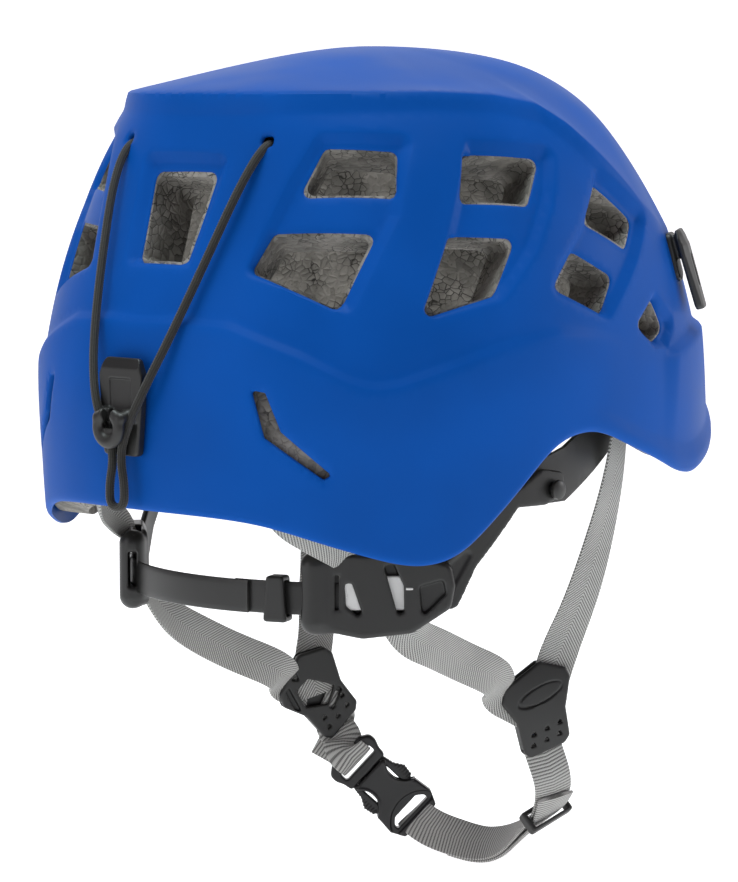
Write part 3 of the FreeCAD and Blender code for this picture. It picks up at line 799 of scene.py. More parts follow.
def axes_at(centre: Sequence[float], x_axis: Sequence[float], z_axis: Sequence[float]) -> Array:
    """The matrix of a piece whose own x and z point along two directions."""
    x = unit(x_axis)
    z = np.asarray(z_axis, float)
    z = unit(z - x * (z @ x))
    matrix = np.eye(4)
    matrix[:3, 0], matrix[:3, 1], matrix[:3, 2], matrix[:3, 3] = x, np.cross(z, x), z, centre
    return matrix


def ribbon(name: str, stations: Sequence[Station], width: float, thick: float,
           step: float = 1.2) -> bpy.types.Object:
    """A strap with rounded selvedges through points, turned by its face directions.

    Args:
        name: The piece's name.
        stations: Points with the direction that the strap's face looks.
        width: Width of the strap.
        thick: Thickness of the strap.
        step: Spacing of its rows.

    Returns:
        The strap, with its width and length in millimetres as its strap UV map.
    """
    line, index = smooth_line([p for p, _ in stations], step)
    looks = np.array([unit(n) for _, n in stations])
    low = np.clip(index.astype(int), 0, len(stations) - 2)
    share = (index - low)[:, None]
    look = looks[low] * (1 - share) + looks[low + 1] * share
    along = np.gradient(line, axis=0)
    along /= np.linalg.norm(along, axis=1)[:, None]
    look -= along * (look * along).sum(1)[:, None]
    look /= np.linalg.norm(look, axis=1)[:, None]
    across = np.cross(look, along)
    length = np.concatenate([[0], np.cumsum(np.linalg.norm(np.diff(line, axis=0), axis=1))])
    columns = 14
    spread = np.linspace(-1, 1, columns)
    full = thick / 2 * (1 - 0.35 * np.abs(spread) ** 8)
    section = [(s * width / 2, h) for s, h in zip(spread, full)]
    section += [(width / 2 + thick * 0.16, 0.0)]
    section += [(s * width / 2, -h) for s, h in zip(spread[::-1], full[::-1])]
    section += [(-width / 2 - thick * 0.16, 0.0)]
    rows = [line + across * a + look * f for a, f in section]
    points = np.stack(rows, 1).reshape(-1, 3)
    m, n = len(section), len(line)
    faces = []
    for i in range(n - 1):
        for k in range(m):
            j = (k + 1) % m
            faces.append((i * m + k, (i + 1) * m + k, (i + 1) * m + j, i * m + j))
    faces.append(tuple(range(m)))
    faces.append(tuple(range((n - 1) * m, n * m))[::-1])
    piece = make_piece(name, points, faces, 50)
    uv = piece.data.uv_layers.new(name="strap")
    corner = np.zeros(len(piece.data.loops), int)
    piece.data.loops.foreach_get("vertex_index", corner)
    place = np.stack([np.array([a for a, _ in section])[corner % m] + width / 2, length[corner // m]], 1)
    uv.data.foreach_set("uv", place.ravel())
    return piece


def lathe(name: str, profile: Sequence[tuple[float, float]], centre: Point, axis: Point) -> bpy.types.Object:
    """A turned piece from its (radius, height) profile round an axis."""
    turns = 32
    helper = (0, 0, 1) if abs(unit(axis)[2]) < 0.9 else (1, 0, 0)
    place = axes_at(centre, np.cross(helper, axis), axis)
    points, faces = [], []
    for radius, height in profile:
        for k in range(turns):
            angle = TAU * k / turns
            points.append((radius * math.cos(angle), radius * math.sin(angle), height))
    for i in range(len(profile) - 1):
        for k in range(turns):
            j = (k + 1) % turns
            faces.append((i * turns + k, i * turns + j, (i + 1) * turns + j, (i + 1) * turns + k))
    faces.append(tuple(range(turns))[::-1])
    faces.append(tuple(range((len(profile) - 1) * turns, len(profile) * turns)))
    return make_piece(name, np.array(points) @ place[:3, :3].T + place[:3, 3], faces, 40)


# --- the dome and its shell
CROWN = 150.0
MERIDIANS = (
    (0, 0, 0, 0), (0, 52, 42, 40), (10, 92, 72, 72), (31, 97, 93, 92),
    (64, 108, 107, 115), (102, 124, 113, 134), (142, 131.5, 113, 148), (195, 126, 108, 158),
)
RIM = (
    (-160, 26), (-140, 15), (-108, -1), (-80, -9.5), (-68, -10.6), (-43, -4), (-20, 4),
    (4, 10.5), (20, 7), (34, -4.3), (51, -21), (64, -31), (75, -33.3), (90, -30), (107, -23),
    (118, -18), (140, -15),
)


class Dome:
    """The smooth dome under the shell's details, by turn and by share down its meridians."""

    rear_power = 2.25
    front_power = 2.1

    def __init__(self) -> None:
        """Work out the meridians as closely spaced rows."""
        spans = len(MERIDIANS) - 3
        knots = [0.0] * 4 + [i / spans for i in range(1, spans)] + [1.0] * 4
        self.shares = np.linspace(0, 1, 4001)
        s = np.minimum(self.shares, 1 - 1e-9)
        k = 3 + (s * spans).astype(int)
        control = np.array(MERIDIANS, float)
        rows = [control[k - 3 + i] for i in range(4)]
        knots = np.array(knots)
        for level in range(1, 4):
            for i in range(3, level - 1, -1):
                low, high = knots[k - 3 + i], knots[k + 1 + i - level]
                share = ((s - low) / (high - low))[:, None]
                rows[i] = (1 - share) * rows[i - 1] + share * rows[i]
        self.rows = rows[3]
        steps = np.hypot(np.diff(self.rows[:, 0]), np.diff(self.rows[:, 2]))
        self.reach = np.concatenate([[0], np.cumsum(steps)])

    def point(self, turn: Array, share: Array) -> Array:
        """Points of the dome."""
        drop, rear, side, front = (np.interp(share, self.shares, row) for row in self.rows.T)
        c, w = np.cos(turn), np.sin(turn)
        reach = np.maximum(np.where(c > 0, rear, front), 1e-6)
        power = np.where(c > 0, self.rear_power, self.front_power)
        radius = (np.abs(c / reach) ** power + np.abs(w / np.maximum(side, 1e-6)) ** power) ** (-1 / power)
        return np.stack([-radius * w, radius * c, CROWN - drop], -1)

    def normal(self, turn: Array, share: Array) -> Array:
        """Outward directions of the dome."""
        step = 2e-3
        share = np.clip(share, 2 * step, 1 - 2 * step)
        along = self.point(turn, share + step) - self.point(turn, share - step)
        around = self.point(turn + step, share) - self.point(turn - step, share)
        out = np.cross(along, around)
        return out / np.linalg.norm(out, axis=-1, keepdims=True)

    def share_at(self, drop: Array) -> Array:
        """Share down the meridian at a drop below the crown."""
        return np.interp(drop, self.rows[:, 0], self.shares)

    def drop_at(self, share: Array) -> Array:
        """Drop below the crown at a share down the meridian."""
        return np.interp(share, self.shares, self.rows[:, 0])

    def place(self, turn_degrees: float, drop: float) -> tuple[Array, Array]:
        """Point and outward direction at a turn and a drop."""
        turn, share = np.array(math.radians(turn_degrees)), np.array(self.share_at(drop))
        return self.point(turn, share), self.normal(turn, share)

    def chart(self, turn: Array, share: Array) -> Array:
        """The dome laid flat: the distance from the crown, turned by the turn."""
        reach = np.interp(share, self.shares, self.reach)
        return np.stack([reach * np.cos(turn), reach * np.sin(turn)], -1)

    def unchart(self, flat: Array) -> tuple[Array, Array]:
        """Turn and share of points of the chart."""
        turn = np.arctan2(flat[:, 1], flat[:, 0])
        return turn, np.interp(np.hypot(*flat.T), self.reach, self.shares)

    def rim_share(self, turn: Array) -> Array:
        """Share down the meridian where the rim cuts it."""
        line, _ = smooth_line(np.array(RIM, float), 0.5)
        low, high = np.full(len(turn), 0.3), np.ones(len(turn))
        for _ in range(30):
            middle = (low + high) / 2
            p = self.point(turn, middle)
            above = p[:, 2] > np.interp(p[:, 1], line[:, 0], line[:, 1])
            low, high = np.where(above, middle, low), np.where(above, high, middle)
        return (low + high) / 2


class Outline:
    """A closed outline on the dome, seen along the dome's normal at its middle."""

    def __init__(self, dome: Dome, corners: Sequence[tuple[float, float]], rounding: float) -> None:
        """Lay the corners, given as turn in degrees and drop, on the tangent plane."""
        self.dome = dome
        turns, drops = np.array(corners, float).T
        self.turn, self.share = math.radians(turns.mean()), float(dome.share_at(drops.mean()))
        self.centre = dome.point(np.array(self.turn), np.array(self.share))
        self.out = dome.normal(np.array(self.turn), np.array(self.share))
        self.side = unit(np.cross((0, 0, 1), self.out))
        self.up = np.cross(self.out, self.side)
        self.rounding = rounding
        self.corners = self.flat(dome.point(np.radians(turns), dome.share_at(drops)))
        self.core = inset(self.corners, rounding)

    def flat(self, points: Array) -> Array:
        """Points seen on the tangent plane."""
        away = points - self.centre
        return np.stack([away @ self.side, away @ self.up], -1)

    def ring(self, offset: float, step: float) -> Array:
        """Chart points round the outline, moved outwards by an offset."""
        goal = rounded_ring(self.corners, self.rounding, offset, step)
        turn, share = np.full(len(goal), self.turn), np.full(len(goal), self.share)
        h = 1e-4
        for _ in range(14):
            here = self.flat(self.dome.point(turn, share))
            by_turn = (self.flat(self.dome.point(turn + h, share)) - here) / h
            by_share = (self.flat(self.dome.point(turn, share + h)) - here) / h
            miss = goal - here
            det = by_turn[:, 0] * by_share[:, 1] - by_turn[:, 1] * by_share[:, 0]
            turn = turn + (miss[:, 0] * by_share[:, 1] - miss[:, 1] * by_share[:, 0]) / det
            share = share + (by_turn[:, 0] * miss[:, 1] - by_turn[:, 1] * miss[:, 0]) / det
            share = np.clip(share, 0.01, 0.99)
        return self.dome.chart(turn, share)

    def distance(self, points: Array) -> Array:
        """Signed distance of dome points to the outline, negative inside it."""
        found = np.full(len(points), 99.0)
        close = (np.linalg.norm(points - self.centre, axis=1) < 75) & ((points @ self.out) > 0)
        found[close] = edge_distance(self.flat(points[close]), self.core) - self.rounding
        return found


def table_of(rows: Sequence[tuple[float, ...]], turn: Array) -> Array:
    """Values given by turn in degrees on one side, for turns on both sides, softly joined."""
    rows = np.array(rows, float)
    fine = np.linspace(-190, 190, 1521)
    folded = np.abs((fine + 180) % 360 - 180)
    degrees = np.abs(np.degrees(turn))
    window = np.hanning(15)
    window /= window.sum()
    out = []
    for column in rows.T[1:]:
        values = np.convolve(np.interp(folded, rows[:, 0], column), window, mode="same")
        out.append(np.interp(degrees, fine, values))
    return np.array(out)


@dataclass
class HelmetShell:
    """The moulded outer shell with its raised crown, sunk panels, ledge, lip and openings."""

    wall: float = 2.2
    panel_depth: float = 2.8
    panel_wall: float = 3.8
    point_spacing: float = 2.5
    ring_spacing: float = 1.3
    clear_of_lines: float = 1.15
    vent_lip: tuple[float, float] = (1.1, 0.9)
    rim_lip: tuple[float, float] = (2.4, 1.1)
    crease_degrees: float = 38.0
    # Turn, drop of the crown's edge, height of the band under it, how far it stands out.
    crown_edge: tuple = (
        (0, 19, 6.5, 3.0), (28, 19, 5.0, 3.0), (58, 19, 4.2, 3.0), (74, 20, 4.4, 3.0),
        (87, 23, 5.2, 2.8), (94, 30, 7.0, 2.6), (102, 42, 8.0, 2.2), (113, 58, 9.0, 1.2),
        (124, 68, 9.0, 0.2), (180, 72, 9.0, 0.0),
    )
    # Turn, how far the crown is flattened halfway between its middle and its edge.
    crown_dip: tuple = ((0, 5.0), (60, 5.0), (100, 3.0), (132, 2.0), (180, 2.0))
    # Turn, drop of the ledge's middle, how far the lower part stands out.
    ledge: tuple = (
        (0, 98, 2.0), (8, 97.2, 2.0), (18.5, 98.5, 2.0), (31, 108, 2.1), (39, 116.6, 2.2),
        (43, 119, 2.2), (47, 118, 2.2), (56, 112, 2.1), (65.6, 105.7, 1.9), (79, 101.6, 1.4),
        (90, 103.8, 0.6), (99, 108, 0.0), (112.5, 114, 0.0), (116.5, 113, 2.6),
        (129.6, 107.6, 3.0), (139, 105.8, 3.0), (180, 104.5, 3.0),
    )
    ledge_width: float = 3.4
    # Turn, distance of the lip's upper line above the rim, its width, how far it stands out.
    lip: tuple = (
        (0, 9, 4, 0.0), (84, 9, 4, 0.0), (98, 8, 4, 0.9), (108, 8.5, 4.5, 1.4),
        (126, 11.5, 6.0, 1.7), (142, 11, 6, 1.7), (180, 10.5, 6, 1.7),
    )
    vents: tuple = (
        ((33, 36), (48, 37), (47.5, 53), (28.5, 53)), ((24, 66), (43.5, 66), (37, 93), (20.5, 79.5)),
        ((62, 38), (82.5, 40), (76, 56.5), (60, 55)), ((57, 67), (71.5, 68.5), (65.5, 88.5), (51, 96)),
        ((98, 50), (109.5, 64), (104, 74), (91, 63.5)), ((86, 74), (97.5, 84), (92.5, 97.5), (79.5, 87)),
        ((111.5, 93), (115.5, 105), (110.5, 109.5), (104, 103.5)),
    )
    low_slot: tuple = (
        (23.2, 120.6), (25.6, 121.4), (28.2, 135.0), (36.3, 150.2), (35.0, 151.8), (25.4, 137.2),
    )
    rear_vent: tuple = ((-9, 45), (9, 45), (6, 77.5), (-6, 77.5))
    rear_panel: tuple = ((-12.6, 38.7), (12.6, 38.7), (8.4, 79.8), (-8.4, 79.8))
    panels: tuple = (
        ((31.5, 31), (51.8, 31.8), (48, 60), (39.3, 94.8), (19.2, 81), (26.3, 48)),
        ((63, 33.3), (87.6, 36.8), (82, 56), (75.5, 73.5), (67, 90.4), (50.2, 98.2), (56, 70.2), (58.9, 54)),
        ((99, 44), (115.4, 62.6), (105, 80), (93.5, 100), (77.3, 88), (81, 77), (88.5, 64.5)),
        ((111, 90), (118.6, 101), (118, 107), (114.3, 112.4), (108.7, 111.8), (101, 102.3)),
    )
    cord_hole: tuple = (20.7, 34.0, 2.2)

    def __post_init__(self) -> None:
        """Lay out the outlines of both sides."""
        self.dome = Dome()

        def both(corners: Sequence, rounding: float) -> list[Outline]:
            """The outline on the right and its mirror image."""
            other = [(-turn, drop) for turn, drop in corners][::-1]
            return [Outline(self.dome, corners, rounding), Outline(self.dome, other, rounding)]

        self.openings = [Outline(self.dome, self.rear_vent, 3.0)]
        for corners in self.vents:
            self.openings += both(corners, 2.4)
        self.openings += both(self.low_slot, 0.9)
        turn, drop, radius = self.cord_hole
        wide = math.degrees(radius / 95)
        hole = [(turn + a * wide, drop + b * 2) for a, b in ((-1, -1), (1, -1), (1, 1), (-1, 1))]
        self.openings += both(hole, 1.5)
        self.sunk = [Outline(self.dome, self.rear_panel, 4.0)]
        for corners in self.panels:
            self.sunk += both(corners, 4.0)

    def dip(self, turn: Array, share: Array) -> Array:
        """How far the crown lies below the plain dome between its middle and its edge."""
        edge = table_of(self.crown_edge, turn)[0]
        reach = np.interp([share, self.dome.share_at(edge)], self.dome.shares, self.dome.reach)
        part = np.clip(reach[0] / reach[1], 0, 1)
        return 6.75 * table_of(self.crown_dip, turn)[0] * part ** 2 * (1 - part)

    def height(self, turn: Array, share: Array) -> Array:
        """How far the shell's outside stands off the plain dome."""
        drop = self.dome.drop_at(share)
        edge, band, stand = table_of(self.crown_edge, turn)
        above = np.clip(drop / edge, 0, 1) ** 1.6
        below = np.clip(1 - (drop - edge) / band, 0, 1)
        out = stand * np.where(drop <= edge, above, below) - self.dip(turn, share)
        middle, proud = table_of(self.ledge, turn)
        rise = np.clip((drop - middle) / self.ledge_width + 0.5, 0, 1)
        fade = np.clip(1 - (drop - middle - 3) / 42, 0, 1)
        out = out + proud * rise * fade ** 1.5
        from_rim = self.dome.drop_at(self.dome.rim_share(turn)) - drop
        lift, width, stand = table_of(self.lip, turn)
        out = out + stand * np.clip((lift - from_rim) / width, 0, 1)
        points = self.dome.point(turn, share)
        for panel in self.sunk:
            inside = np.clip(-panel.distance(points) / self.panel_wall, 0, 1)
            out = out - self.panel_depth * inside
        return out

    def lines(self) -> list[Array]:
        """Every closed line that the mesh's edges follow, on the chart."""
        step = self.ring_spacing
        turn = np.linspace(-math.pi, math.pi, 620, endpoint=False)
        edge, band, _ = table_of(self.crown_edge, turn)
        middle, _ = table_of(self.ledge, turn)
        lift, width, _ = table_of(self.lip, turn)
        rim = self.dome.drop_at(self.dome.rim_share(turn))
        half = self.ledge_width / 2
        drops = [edge - 0.5, edge + 0.3, edge + band - 0.6, edge + band + 0.6]
        drops += [middle + k for k in (-half - 0.7, -half + 0.7, half - 0.7, half + 0.7)]
        drops += [rim - lift - 0.6, rim - lift + 0.6, rim - lift + width - 0.6, rim - lift + width + 0.6]
        drops += [rim - 2.4, rim - 1.1, rim - 0.4, rim]
        found = [self.dome.chart(turn, self.dome.share_at(drop)) for drop in drops]
        wall = self.panel_wall
        for panel in self.sunk:
            found += [panel.ring(k, step) for k in (0.5, -0.5, -wall + 0.6, -wall - 0.5)]
        for hole in self.openings:
            rings = (0.0, 0.45, 1.1) if hole.rounding > 1 else (0.0, 0.4)
            found += [hole.ring(k, step) for k in rings]
        return found

    def free_points(self, fixed: Array) -> Array:
        """A triangular lattice over the chart, clear of the fixed points.

        Args:
            fixed: Chart points of the lines that the mesh follows.

        Returns:
            Chart points that fill the space between the lines.
        """
        step = self.point_spacing
        count = int(self.dome.reach[-1] / step) + 2
        rows = []
        for k in range(-count, count + 1):
            x = np.arange(-count, count + 1) * step + (k % 2) * step / 2
            rows.append(np.stack([x, np.full(len(x), k * step * 0.866)], -1))
        free = np.concatenate(rows)
        turn, share = self.dome.unchart(free)
        free = free[(share < self.dome.rim_share(turn) + 0.01) & (np.hypot(*free.T) > 0.5)]
        tree = KDTree(len(fixed))
        for i, (x, y) in enumerate(fixed.tolist()):
            tree.insert((x, y, 0), i)
        tree.balance()
        apart = [tree.find((x, y, 0))[2] > self.clear_of_lines for x, y in free.tolist()]
        return free[np.array(apart)]

    def layout(self) -> tuple[Array, Array]:
        """The mesh on the chart: its points, and its triangles above the rim."""
        lines = self.lines()
        edges = []
        start = 0
        for line in lines:
            count = len(line)
            edges += [(start + k, start + (k + 1) % count) for k in range(count)]
            start += count
        fixed = np.concatenate(lines)
        every = np.concatenate([fixed, self.free_points(fixed)])
        flat, _, triangles, *_ = delaunay_2d_cdt([Vector(p) for p in every.tolist()], edges, [], 0, 1e-5)
        flat = np.array([tuple(p) for p in flat])
        triangles = np.array([tuple(t) for t in triangles])
        turn, share = self.dome.unchart(flat[triangles].mean(1))
        points = self.dome.point(turn, share)
        kept = share < self.dome.rim_share(turn)
        for hole in self.openings:
            kept &= hole.distance(points) > 0
        triangles = triangles[kept]
        used = np.unique(triangles)
        renumber = np.full(len(flat), -1)
        renumber[used] = np.arange(len(used))
        return flat[used], renumber[triangles]

    def lip_drop(self, turn: Array, share: Array, points: Array) -> Array:
        """How far the outside rounds down to the vents and the rim."""
        reach, depth = self.vent_lip
        rounded = np.zeros(len(points))
        for hole in self.openings:
            near = np.clip(1 - hole.distance(points) / reach, 0, 1)
            rounded = np.maximum(rounded, depth * near ** 2)
        reach, depth = self.rim_lip
        from_rim = self.dome.drop_at(self.dome.rim_share(turn)) - self.dome.drop_at(share)
        return np.maximum(rounded, depth * np.clip(1 - from_rim / reach, 0, 1) ** 2.2)

    def build(self) -> bpy.types.Object:
        """Make the shell.

        Returns:
            An outside and an inside that share one layout, joined at every open edge.
        """
        flat, triangles = self.layout()
        turn, share = self.dome.unchart(flat)
        points, out = self.dome.point(turn, share), self.dome.normal(turn, share)
        height = self.height(turn, share)
        outside = points + out * (height - self.lip_drop(turn, share, points))[:, None]
        inside = points + out * (height - self.wall)[:, None]
        sides = np.concatenate([triangles[:, [0, 1]], triangles[:, [1, 2]], triangles[:, [2, 0]]])
        total = len(flat)
        keys = sides[:, 0] * total + sides[:, 1]
        lone = sides[~np.isin(keys, sides[:, 1] * total + sides[:, 0])]
        a, b = lone.T
        walls = np.stack([b, a, a + total, b + total], 1)
        first, second, third = outside[triangles[0]]
        if np.cross(second - first, third - first) @ out[triangles[0, 0]] < 0:
            triangles, walls = triangles[:, ::-1], walls[:, ::-1]
        faces = triangles.tolist() + (triangles[:, ::-1] + total).tolist() + walls.tolist()
        corners = np.concatenate([outside, inside])
        return make_piece("outer_shell_moulding", corners, faces, self.crease_degrees)

    def dress(self, palette: Palette) -> None:
        """Build the shell and set it on the helmet."""
        settle(self.build(), palette.shell, "helmet", ["outer_shell"])


# --- inside the shell
@dataclass
class Lining:
    """Foam liners, pads and the brow strip."""

    shell: HelmetShell
    foam_bevel: float = 0.9
    strip_bevel: float = 0.36
    skin: float = 8.0
    skin_below: float = 6.0
    pad_voxel: float = 1.6
    pad_swell: float = 1.1
    pad_pressure: float = 3.0
    pad_frames: int = 12

    def dress(self, palette: Palette) -> None:
        """Give the foam and strips their finish and build the pads."""
        self.dress_node("side_liner", palette.foam, self.foam_bevel)
        self.dress_node("headband", palette.black, self.strip_bevel)
        settle(self.crown(), palette.foam, "helmet", ["crown_liner"])
        for node in ("crown_pad", "brow_pad"):
            pad = self.pad(node)
            settle(pad, palette.knit, "helmet", [node])

    def crown(self) -> bpy.types.Object:
        """The crown foam, its outside flattened with the shell's crown."""
        crown = bpy.data.objects.new("crown_foam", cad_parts["crown_liner"].data.copy())
        bpy.context.scene.collection.objects.link(crown)
        corners = np.zeros(len(crown.data.vertices) * 3)
        crown.data.vertices.foreach_get("co", corners)
        points = corners.reshape(-1, 3) / MM
        dome = self.shell.dome
        turn = np.arctan2(-points[:, 0], points[:, 1])
        share = np.asarray(dome.share_at(np.clip(CROWN - points[:, 2], 0.5, None)))
        for _ in range(12):
            reach = np.hypot(*dome.point(turn, share)[:, :2].T)
            share = np.clip(share * np.hypot(*points[:, :2].T) / np.maximum(reach, 0.1), 1e-3, 0.6)
        under = dome.point(turn, share)[:, 2] - points[:, 2]
        fade = np.clip((self.skin + self.skin_below - under) / self.skin, 0, 1)
        points[:, 2] -= self.shell.dip(turn, share) * fade
        crown.data.vertices.foreach_set("co", (points * MM).ravel())
        crown.data.update()
        return crown

    def dress_node(self, node: str, material: bpy.types.Material, bevel: float) -> None:
        """Give a carried-over part a finish and softened edges.

        Args:
            node: The part's name.
            material: Its finish.
            bevel: Width of the softened edges.
        """
        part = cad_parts[node]
        part.data.materials.clear()
        part.data.materials.append(material)
        softened = part.modifiers.new("softened_edges", "BEVEL")
        softened.width = bevel * MM
        softened.segments = 2
        softened.limit_method = "ANGLE"
        softened.angle_limit = math.radians(50)
        LOG.info("%s keeps its shape", node)

    def pad(self, node: str) -> bpy.types.Object:
        """A soft pad: the plain one remeshed, swollen a little by cloth pressure and smoothed."""
        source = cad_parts[node]
        pad = bpy.data.objects.new(node + "_cushion", source.data.copy())
        bpy.context.scene.collection.objects.link(pad)
        remesh = pad.modifiers.new("cells", "REMESH")
        remesh.mode = "VOXEL"
        remesh.voxel_size = self.pad_voxel * MM
        smooth = pad.modifiers.new("round", "SMOOTH")
        smooth.factor = 0.6
        smooth.iterations = 8
        self.apply(pad)
        self.swell(pad)
        finer = pad.modifiers.new("finer", "SUBSURF")
        finer.levels = finer.render_levels = 1
        self.apply(pad)
        pad.data.polygons.foreach_set("use_smooth", [True] * len(pad.data.polygons))
        return pad

    def apply(self, piece: bpy.types.Object) -> None:
        """Replace a piece's mesh by what its modifiers make of it."""
        graph = bpy.context.evaluated_depsgraph_get()
        graph.update()
        mesh = bpy.data.meshes.new_from_object(piece.evaluated_get(graph))
        piece.modifiers.clear()
        piece.data = mesh

    def swell(self, pad: bpy.types.Object) -> None:
        """Puff the pad with cloth pressure, each point moving no further than the swell."""
        scene = bpy.context.scene
        rest = np.zeros(len(pad.data.vertices) * 3)
        pad.data.vertices.foreach_get("co", rest)
        cloth = pad.modifiers.new("pressure", "CLOTH")
        cloth.settings.use_pressure = True
        cloth.settings.uniform_pressure_force = self.pad_pressure
        cloth.settings.effector_weights.gravity = 0.0
        cloth.settings.quality = 4
        for number in range(1, self.pad_frames + 1):
            scene.frame_set(number)
        graph = bpy.context.evaluated_depsgraph_get()
        blown = pad.evaluated_get(graph).to_mesh()
        moved = np.zeros_like(rest)
        blown.vertices.foreach_get("co", moved)
        pad.modifiers.clear()
        scene.frame_set(1)
        rest, moved = rest.reshape(-1, 3), moved.reshape(-1, 3)
        away = moved - rest
        far = np.linalg.norm(away, axis=1, keepdims=True)
        cap = self.pad_swell * MM
        away *= np.minimum(1, cap / np.maximum(far, 1e-9))
        pad.data.vertices.foreach_set("co", (rest + away * 0.6).ravel())
        pad.data.update()


# --- nape cradle
@dataclass
class NapeCradle:
    """Arms, adjusters, size bands and their keeper, hung on the nape's empties."""

    half_width: float = 92.0
    reach: float = 95.0
    centre_y: float = -3.0
    adjuster_turn: float = 44.0
    adjuster_height: float = -47.0
    pivot: Point = (0, 2, -12)
    face_bow: float = 0.00264
    face_outline: tuple = (
        (-22, -13), (-6, -16), (12, -14), (26, -5), (27.5, 3), (26, 11), (12, 15), (-20, 15),
    )

    def on_ring(self, turn_degrees: float, z: float, out: float = 0.0) -> Array:
        """A point on the cradle's level ring."""
        t = math.radians(turn_degrees)
        x = -(self.half_width + out) * math.sin(t)
        return np.array([x, self.centre_y + (self.reach + out) * math.cos(t), z])

    def outward(self, turn_degrees: float) -> Array:
        """Outward direction at a turn."""
        t = math.radians(turn_degrees)
        return np.array([-math.sin(t), math.cos(t), 0.0])

    def adjuster_shape(self, p: Array) -> Array:
        """Saddle-shaped housing: face plate, flared rear flange, windows and strap ports."""
        bow = np.array([0, 0, self.face_bow]) * (p[:, 0:1] - 4) ** 2
        face = prism(self.face_outline, -4.2, 3.4, 1.6, 4.0)(p + bow)
        flange = rod((-23.5, -9.5, 0.2), (-23.5, 10.5, 0.2), 4.9)(p)
        body = soft_join(face, flange, 5.0)
        neck = rod((-15.5, -26, 7.6), (-15.5, 26, 7.6), 4.6)(p)
        body = soft_cut(body, neck, 2.5)
        band_way = brick((-24, 0.8, 0.2), (22, 13.6, 3.0), 0.6)(p)
        body = soft_cut(body, band_way, 0.8)
        rear_window = [(-12.4, 4.0), (-10.0, 4.4), (-6.2, -6.6), (-8.0, -7.6), (-12.0, -4.0)]
        fore_window = [(1.6, 10.6), (5.2, 11.4), (8.8, 3.2), (9.0, -6.0), (6.8, -7.6), (3.6, 3.6)]
        small = prism(rear_window, -1.5, 9, 0.3, 0.9)(p)
        large = prism(fore_window, -1.5, 9, 0.3, 1.2)(p)
        body = soft_cut(body, np.minimum(small, large), 0.7)
        hollow = prism([(14.5, 3.0), (23, 5.4), (24, 0.5), (15.5, -8.0)], 0.4, 9, 0.4, 1.2)(p)
        body = soft_cut(body, hollow, 0.8)
        seam = brick((12.2, 0, 4.2), (0.5, 34, 1.6), 0.2)(p)
        body = soft_cut(body, seam, 0.4)
        upper_port = brick((-12, 16, -1.6), (17.5, 8, 3.0), 0.6)(p)
        lower_port = brick((3, -16, -1.4), (18, 10, 3.0), 0.6)(p)
        return soft_cut(body, np.minimum(upper_port, lower_port), 0.6)

    def arm_shape(self, p: Array) -> Array:
        """Strip that rises from the adjuster to the pivot, bent round the head."""
        radial = np.hypot(p[:, 0] / self.half_width, (p[:, 1] - self.centre_y) / self.reach)
        off = (radial - 1) * (self.half_width + self.reach) / 2
        flat = np.stack([p[:, 1], p[:, 2], off], -1)
        outline = [
            (60, -53), (43, -53), (36, -38), (19, -17.5), (6, -17.5), (-3, -15), (-4, -6),
            (8, -4), (28, -16), (48, -36), (60, -41),
        ]
        strip = prism(outline, -1.3, 1.3, 0.6, 3.0)(flat)
        groove = prism([(56, -50), (47, -50), (34, -26), (50, -41)], 0.7, 4, 0.3, 1.5)(flat)
        strip = soft_cut(strip, groove, 0.5)
        hole = np.hypot(p[:, 1] - self.pivot[1], p[:, 2] - self.pivot[2]) - 2.15
        return np.maximum(np.maximum(strip, -hole), p[:, 0] + 40)

    def keeper_shape(self, p: Array) -> Array:
        """Trapezoid ring that holds the two band layers together."""
        body = prism([(-4.6, -8.4), (4.6, -8.4), (3.4, 8.4), (-3.4, 8.4)], -3.3, 4.1, 1.0, 1.2)(p)
        return soft_cut(body, brick((0, 0.1, 0.5), (20, 12.9, 3.9), 0.4)(p), 0.6)

    def dress(self, palette: Palette) -> None:
        """Build the cradle."""
        out = self.outward(self.adjuster_turn)
        centre = self.on_ring(self.adjuster_turn, self.adjuster_height)
        place = axes_at(centre, np.cross((0, 0, 1), out), out)
        for side in Side:
            left = side is Side.LEFT
            label = side.label
            low, high = (-32, -20, -8), (31, 19, 9)
            housing = Moulding(f"adjuster_housing_{label}", self.adjuster_shape, low, high, 0.45, 3)
            housing = housing.build(place, left)
            settle(housing, palette.black, "nape", [f"nape_adjuster_{label}"])
            low, high = (-98, -18, -57), (-56, 64, 0)
            arm = Moulding(f"cradle_arm_{label}", self.arm_shape, low, high, 0.6, 2).build(None, left)
            settle(arm, palette.black, "nape", [f"nape_arm_{label}"])
            self.dress_tick(side, place, palette)
            self.dress_insert(side, place, palette)
            self.dress_band(side, palette)
            self.dress_pivot(side, palette)
        at = axes_at(self.on_ring(21, -49.2, 0), np.cross((0, 0, 1), self.outward(21)), self.outward(21))
        keeper = Moulding("band_keeper_ring", self.keeper_shape, (-6, -10, -5), (6, 10, 6), 0.35)
        settle(keeper.build(at), palette.black, "nape_keeper", ["nape_keeper"])

    def dress_insert(self, side: Side, place: Array, palette: Palette) -> None:
        """The light webbing seen through the housing's two windows."""
        shape = brick((-1.5, 0.6, 0.6), (25, 12.4, 1.4), 0.3)
        insert = Moulding(f"adjuster_webbing_{side.label}", shape, (-16, -8, -1), (13, 9, 2.2), 0.4, 0)
        settle(insert.build(place, side is Side.LEFT), palette.white, "nape")

    def dress_tick(self, side: Side, place: Array, palette: Palette) -> None:
        """The small size mark beside the large window."""
        shape = brick((10.8, 2.4, 3.35), (2.6, 0.8, 0.5), 0.1)
        tick = Moulding(f"size_tick_{side.label}", shape, (8, 1, 2.6), (13, 4, 4), 0.2, 0)
        settle(tick.build(place, side is Side.LEFT), palette.white, "nape")

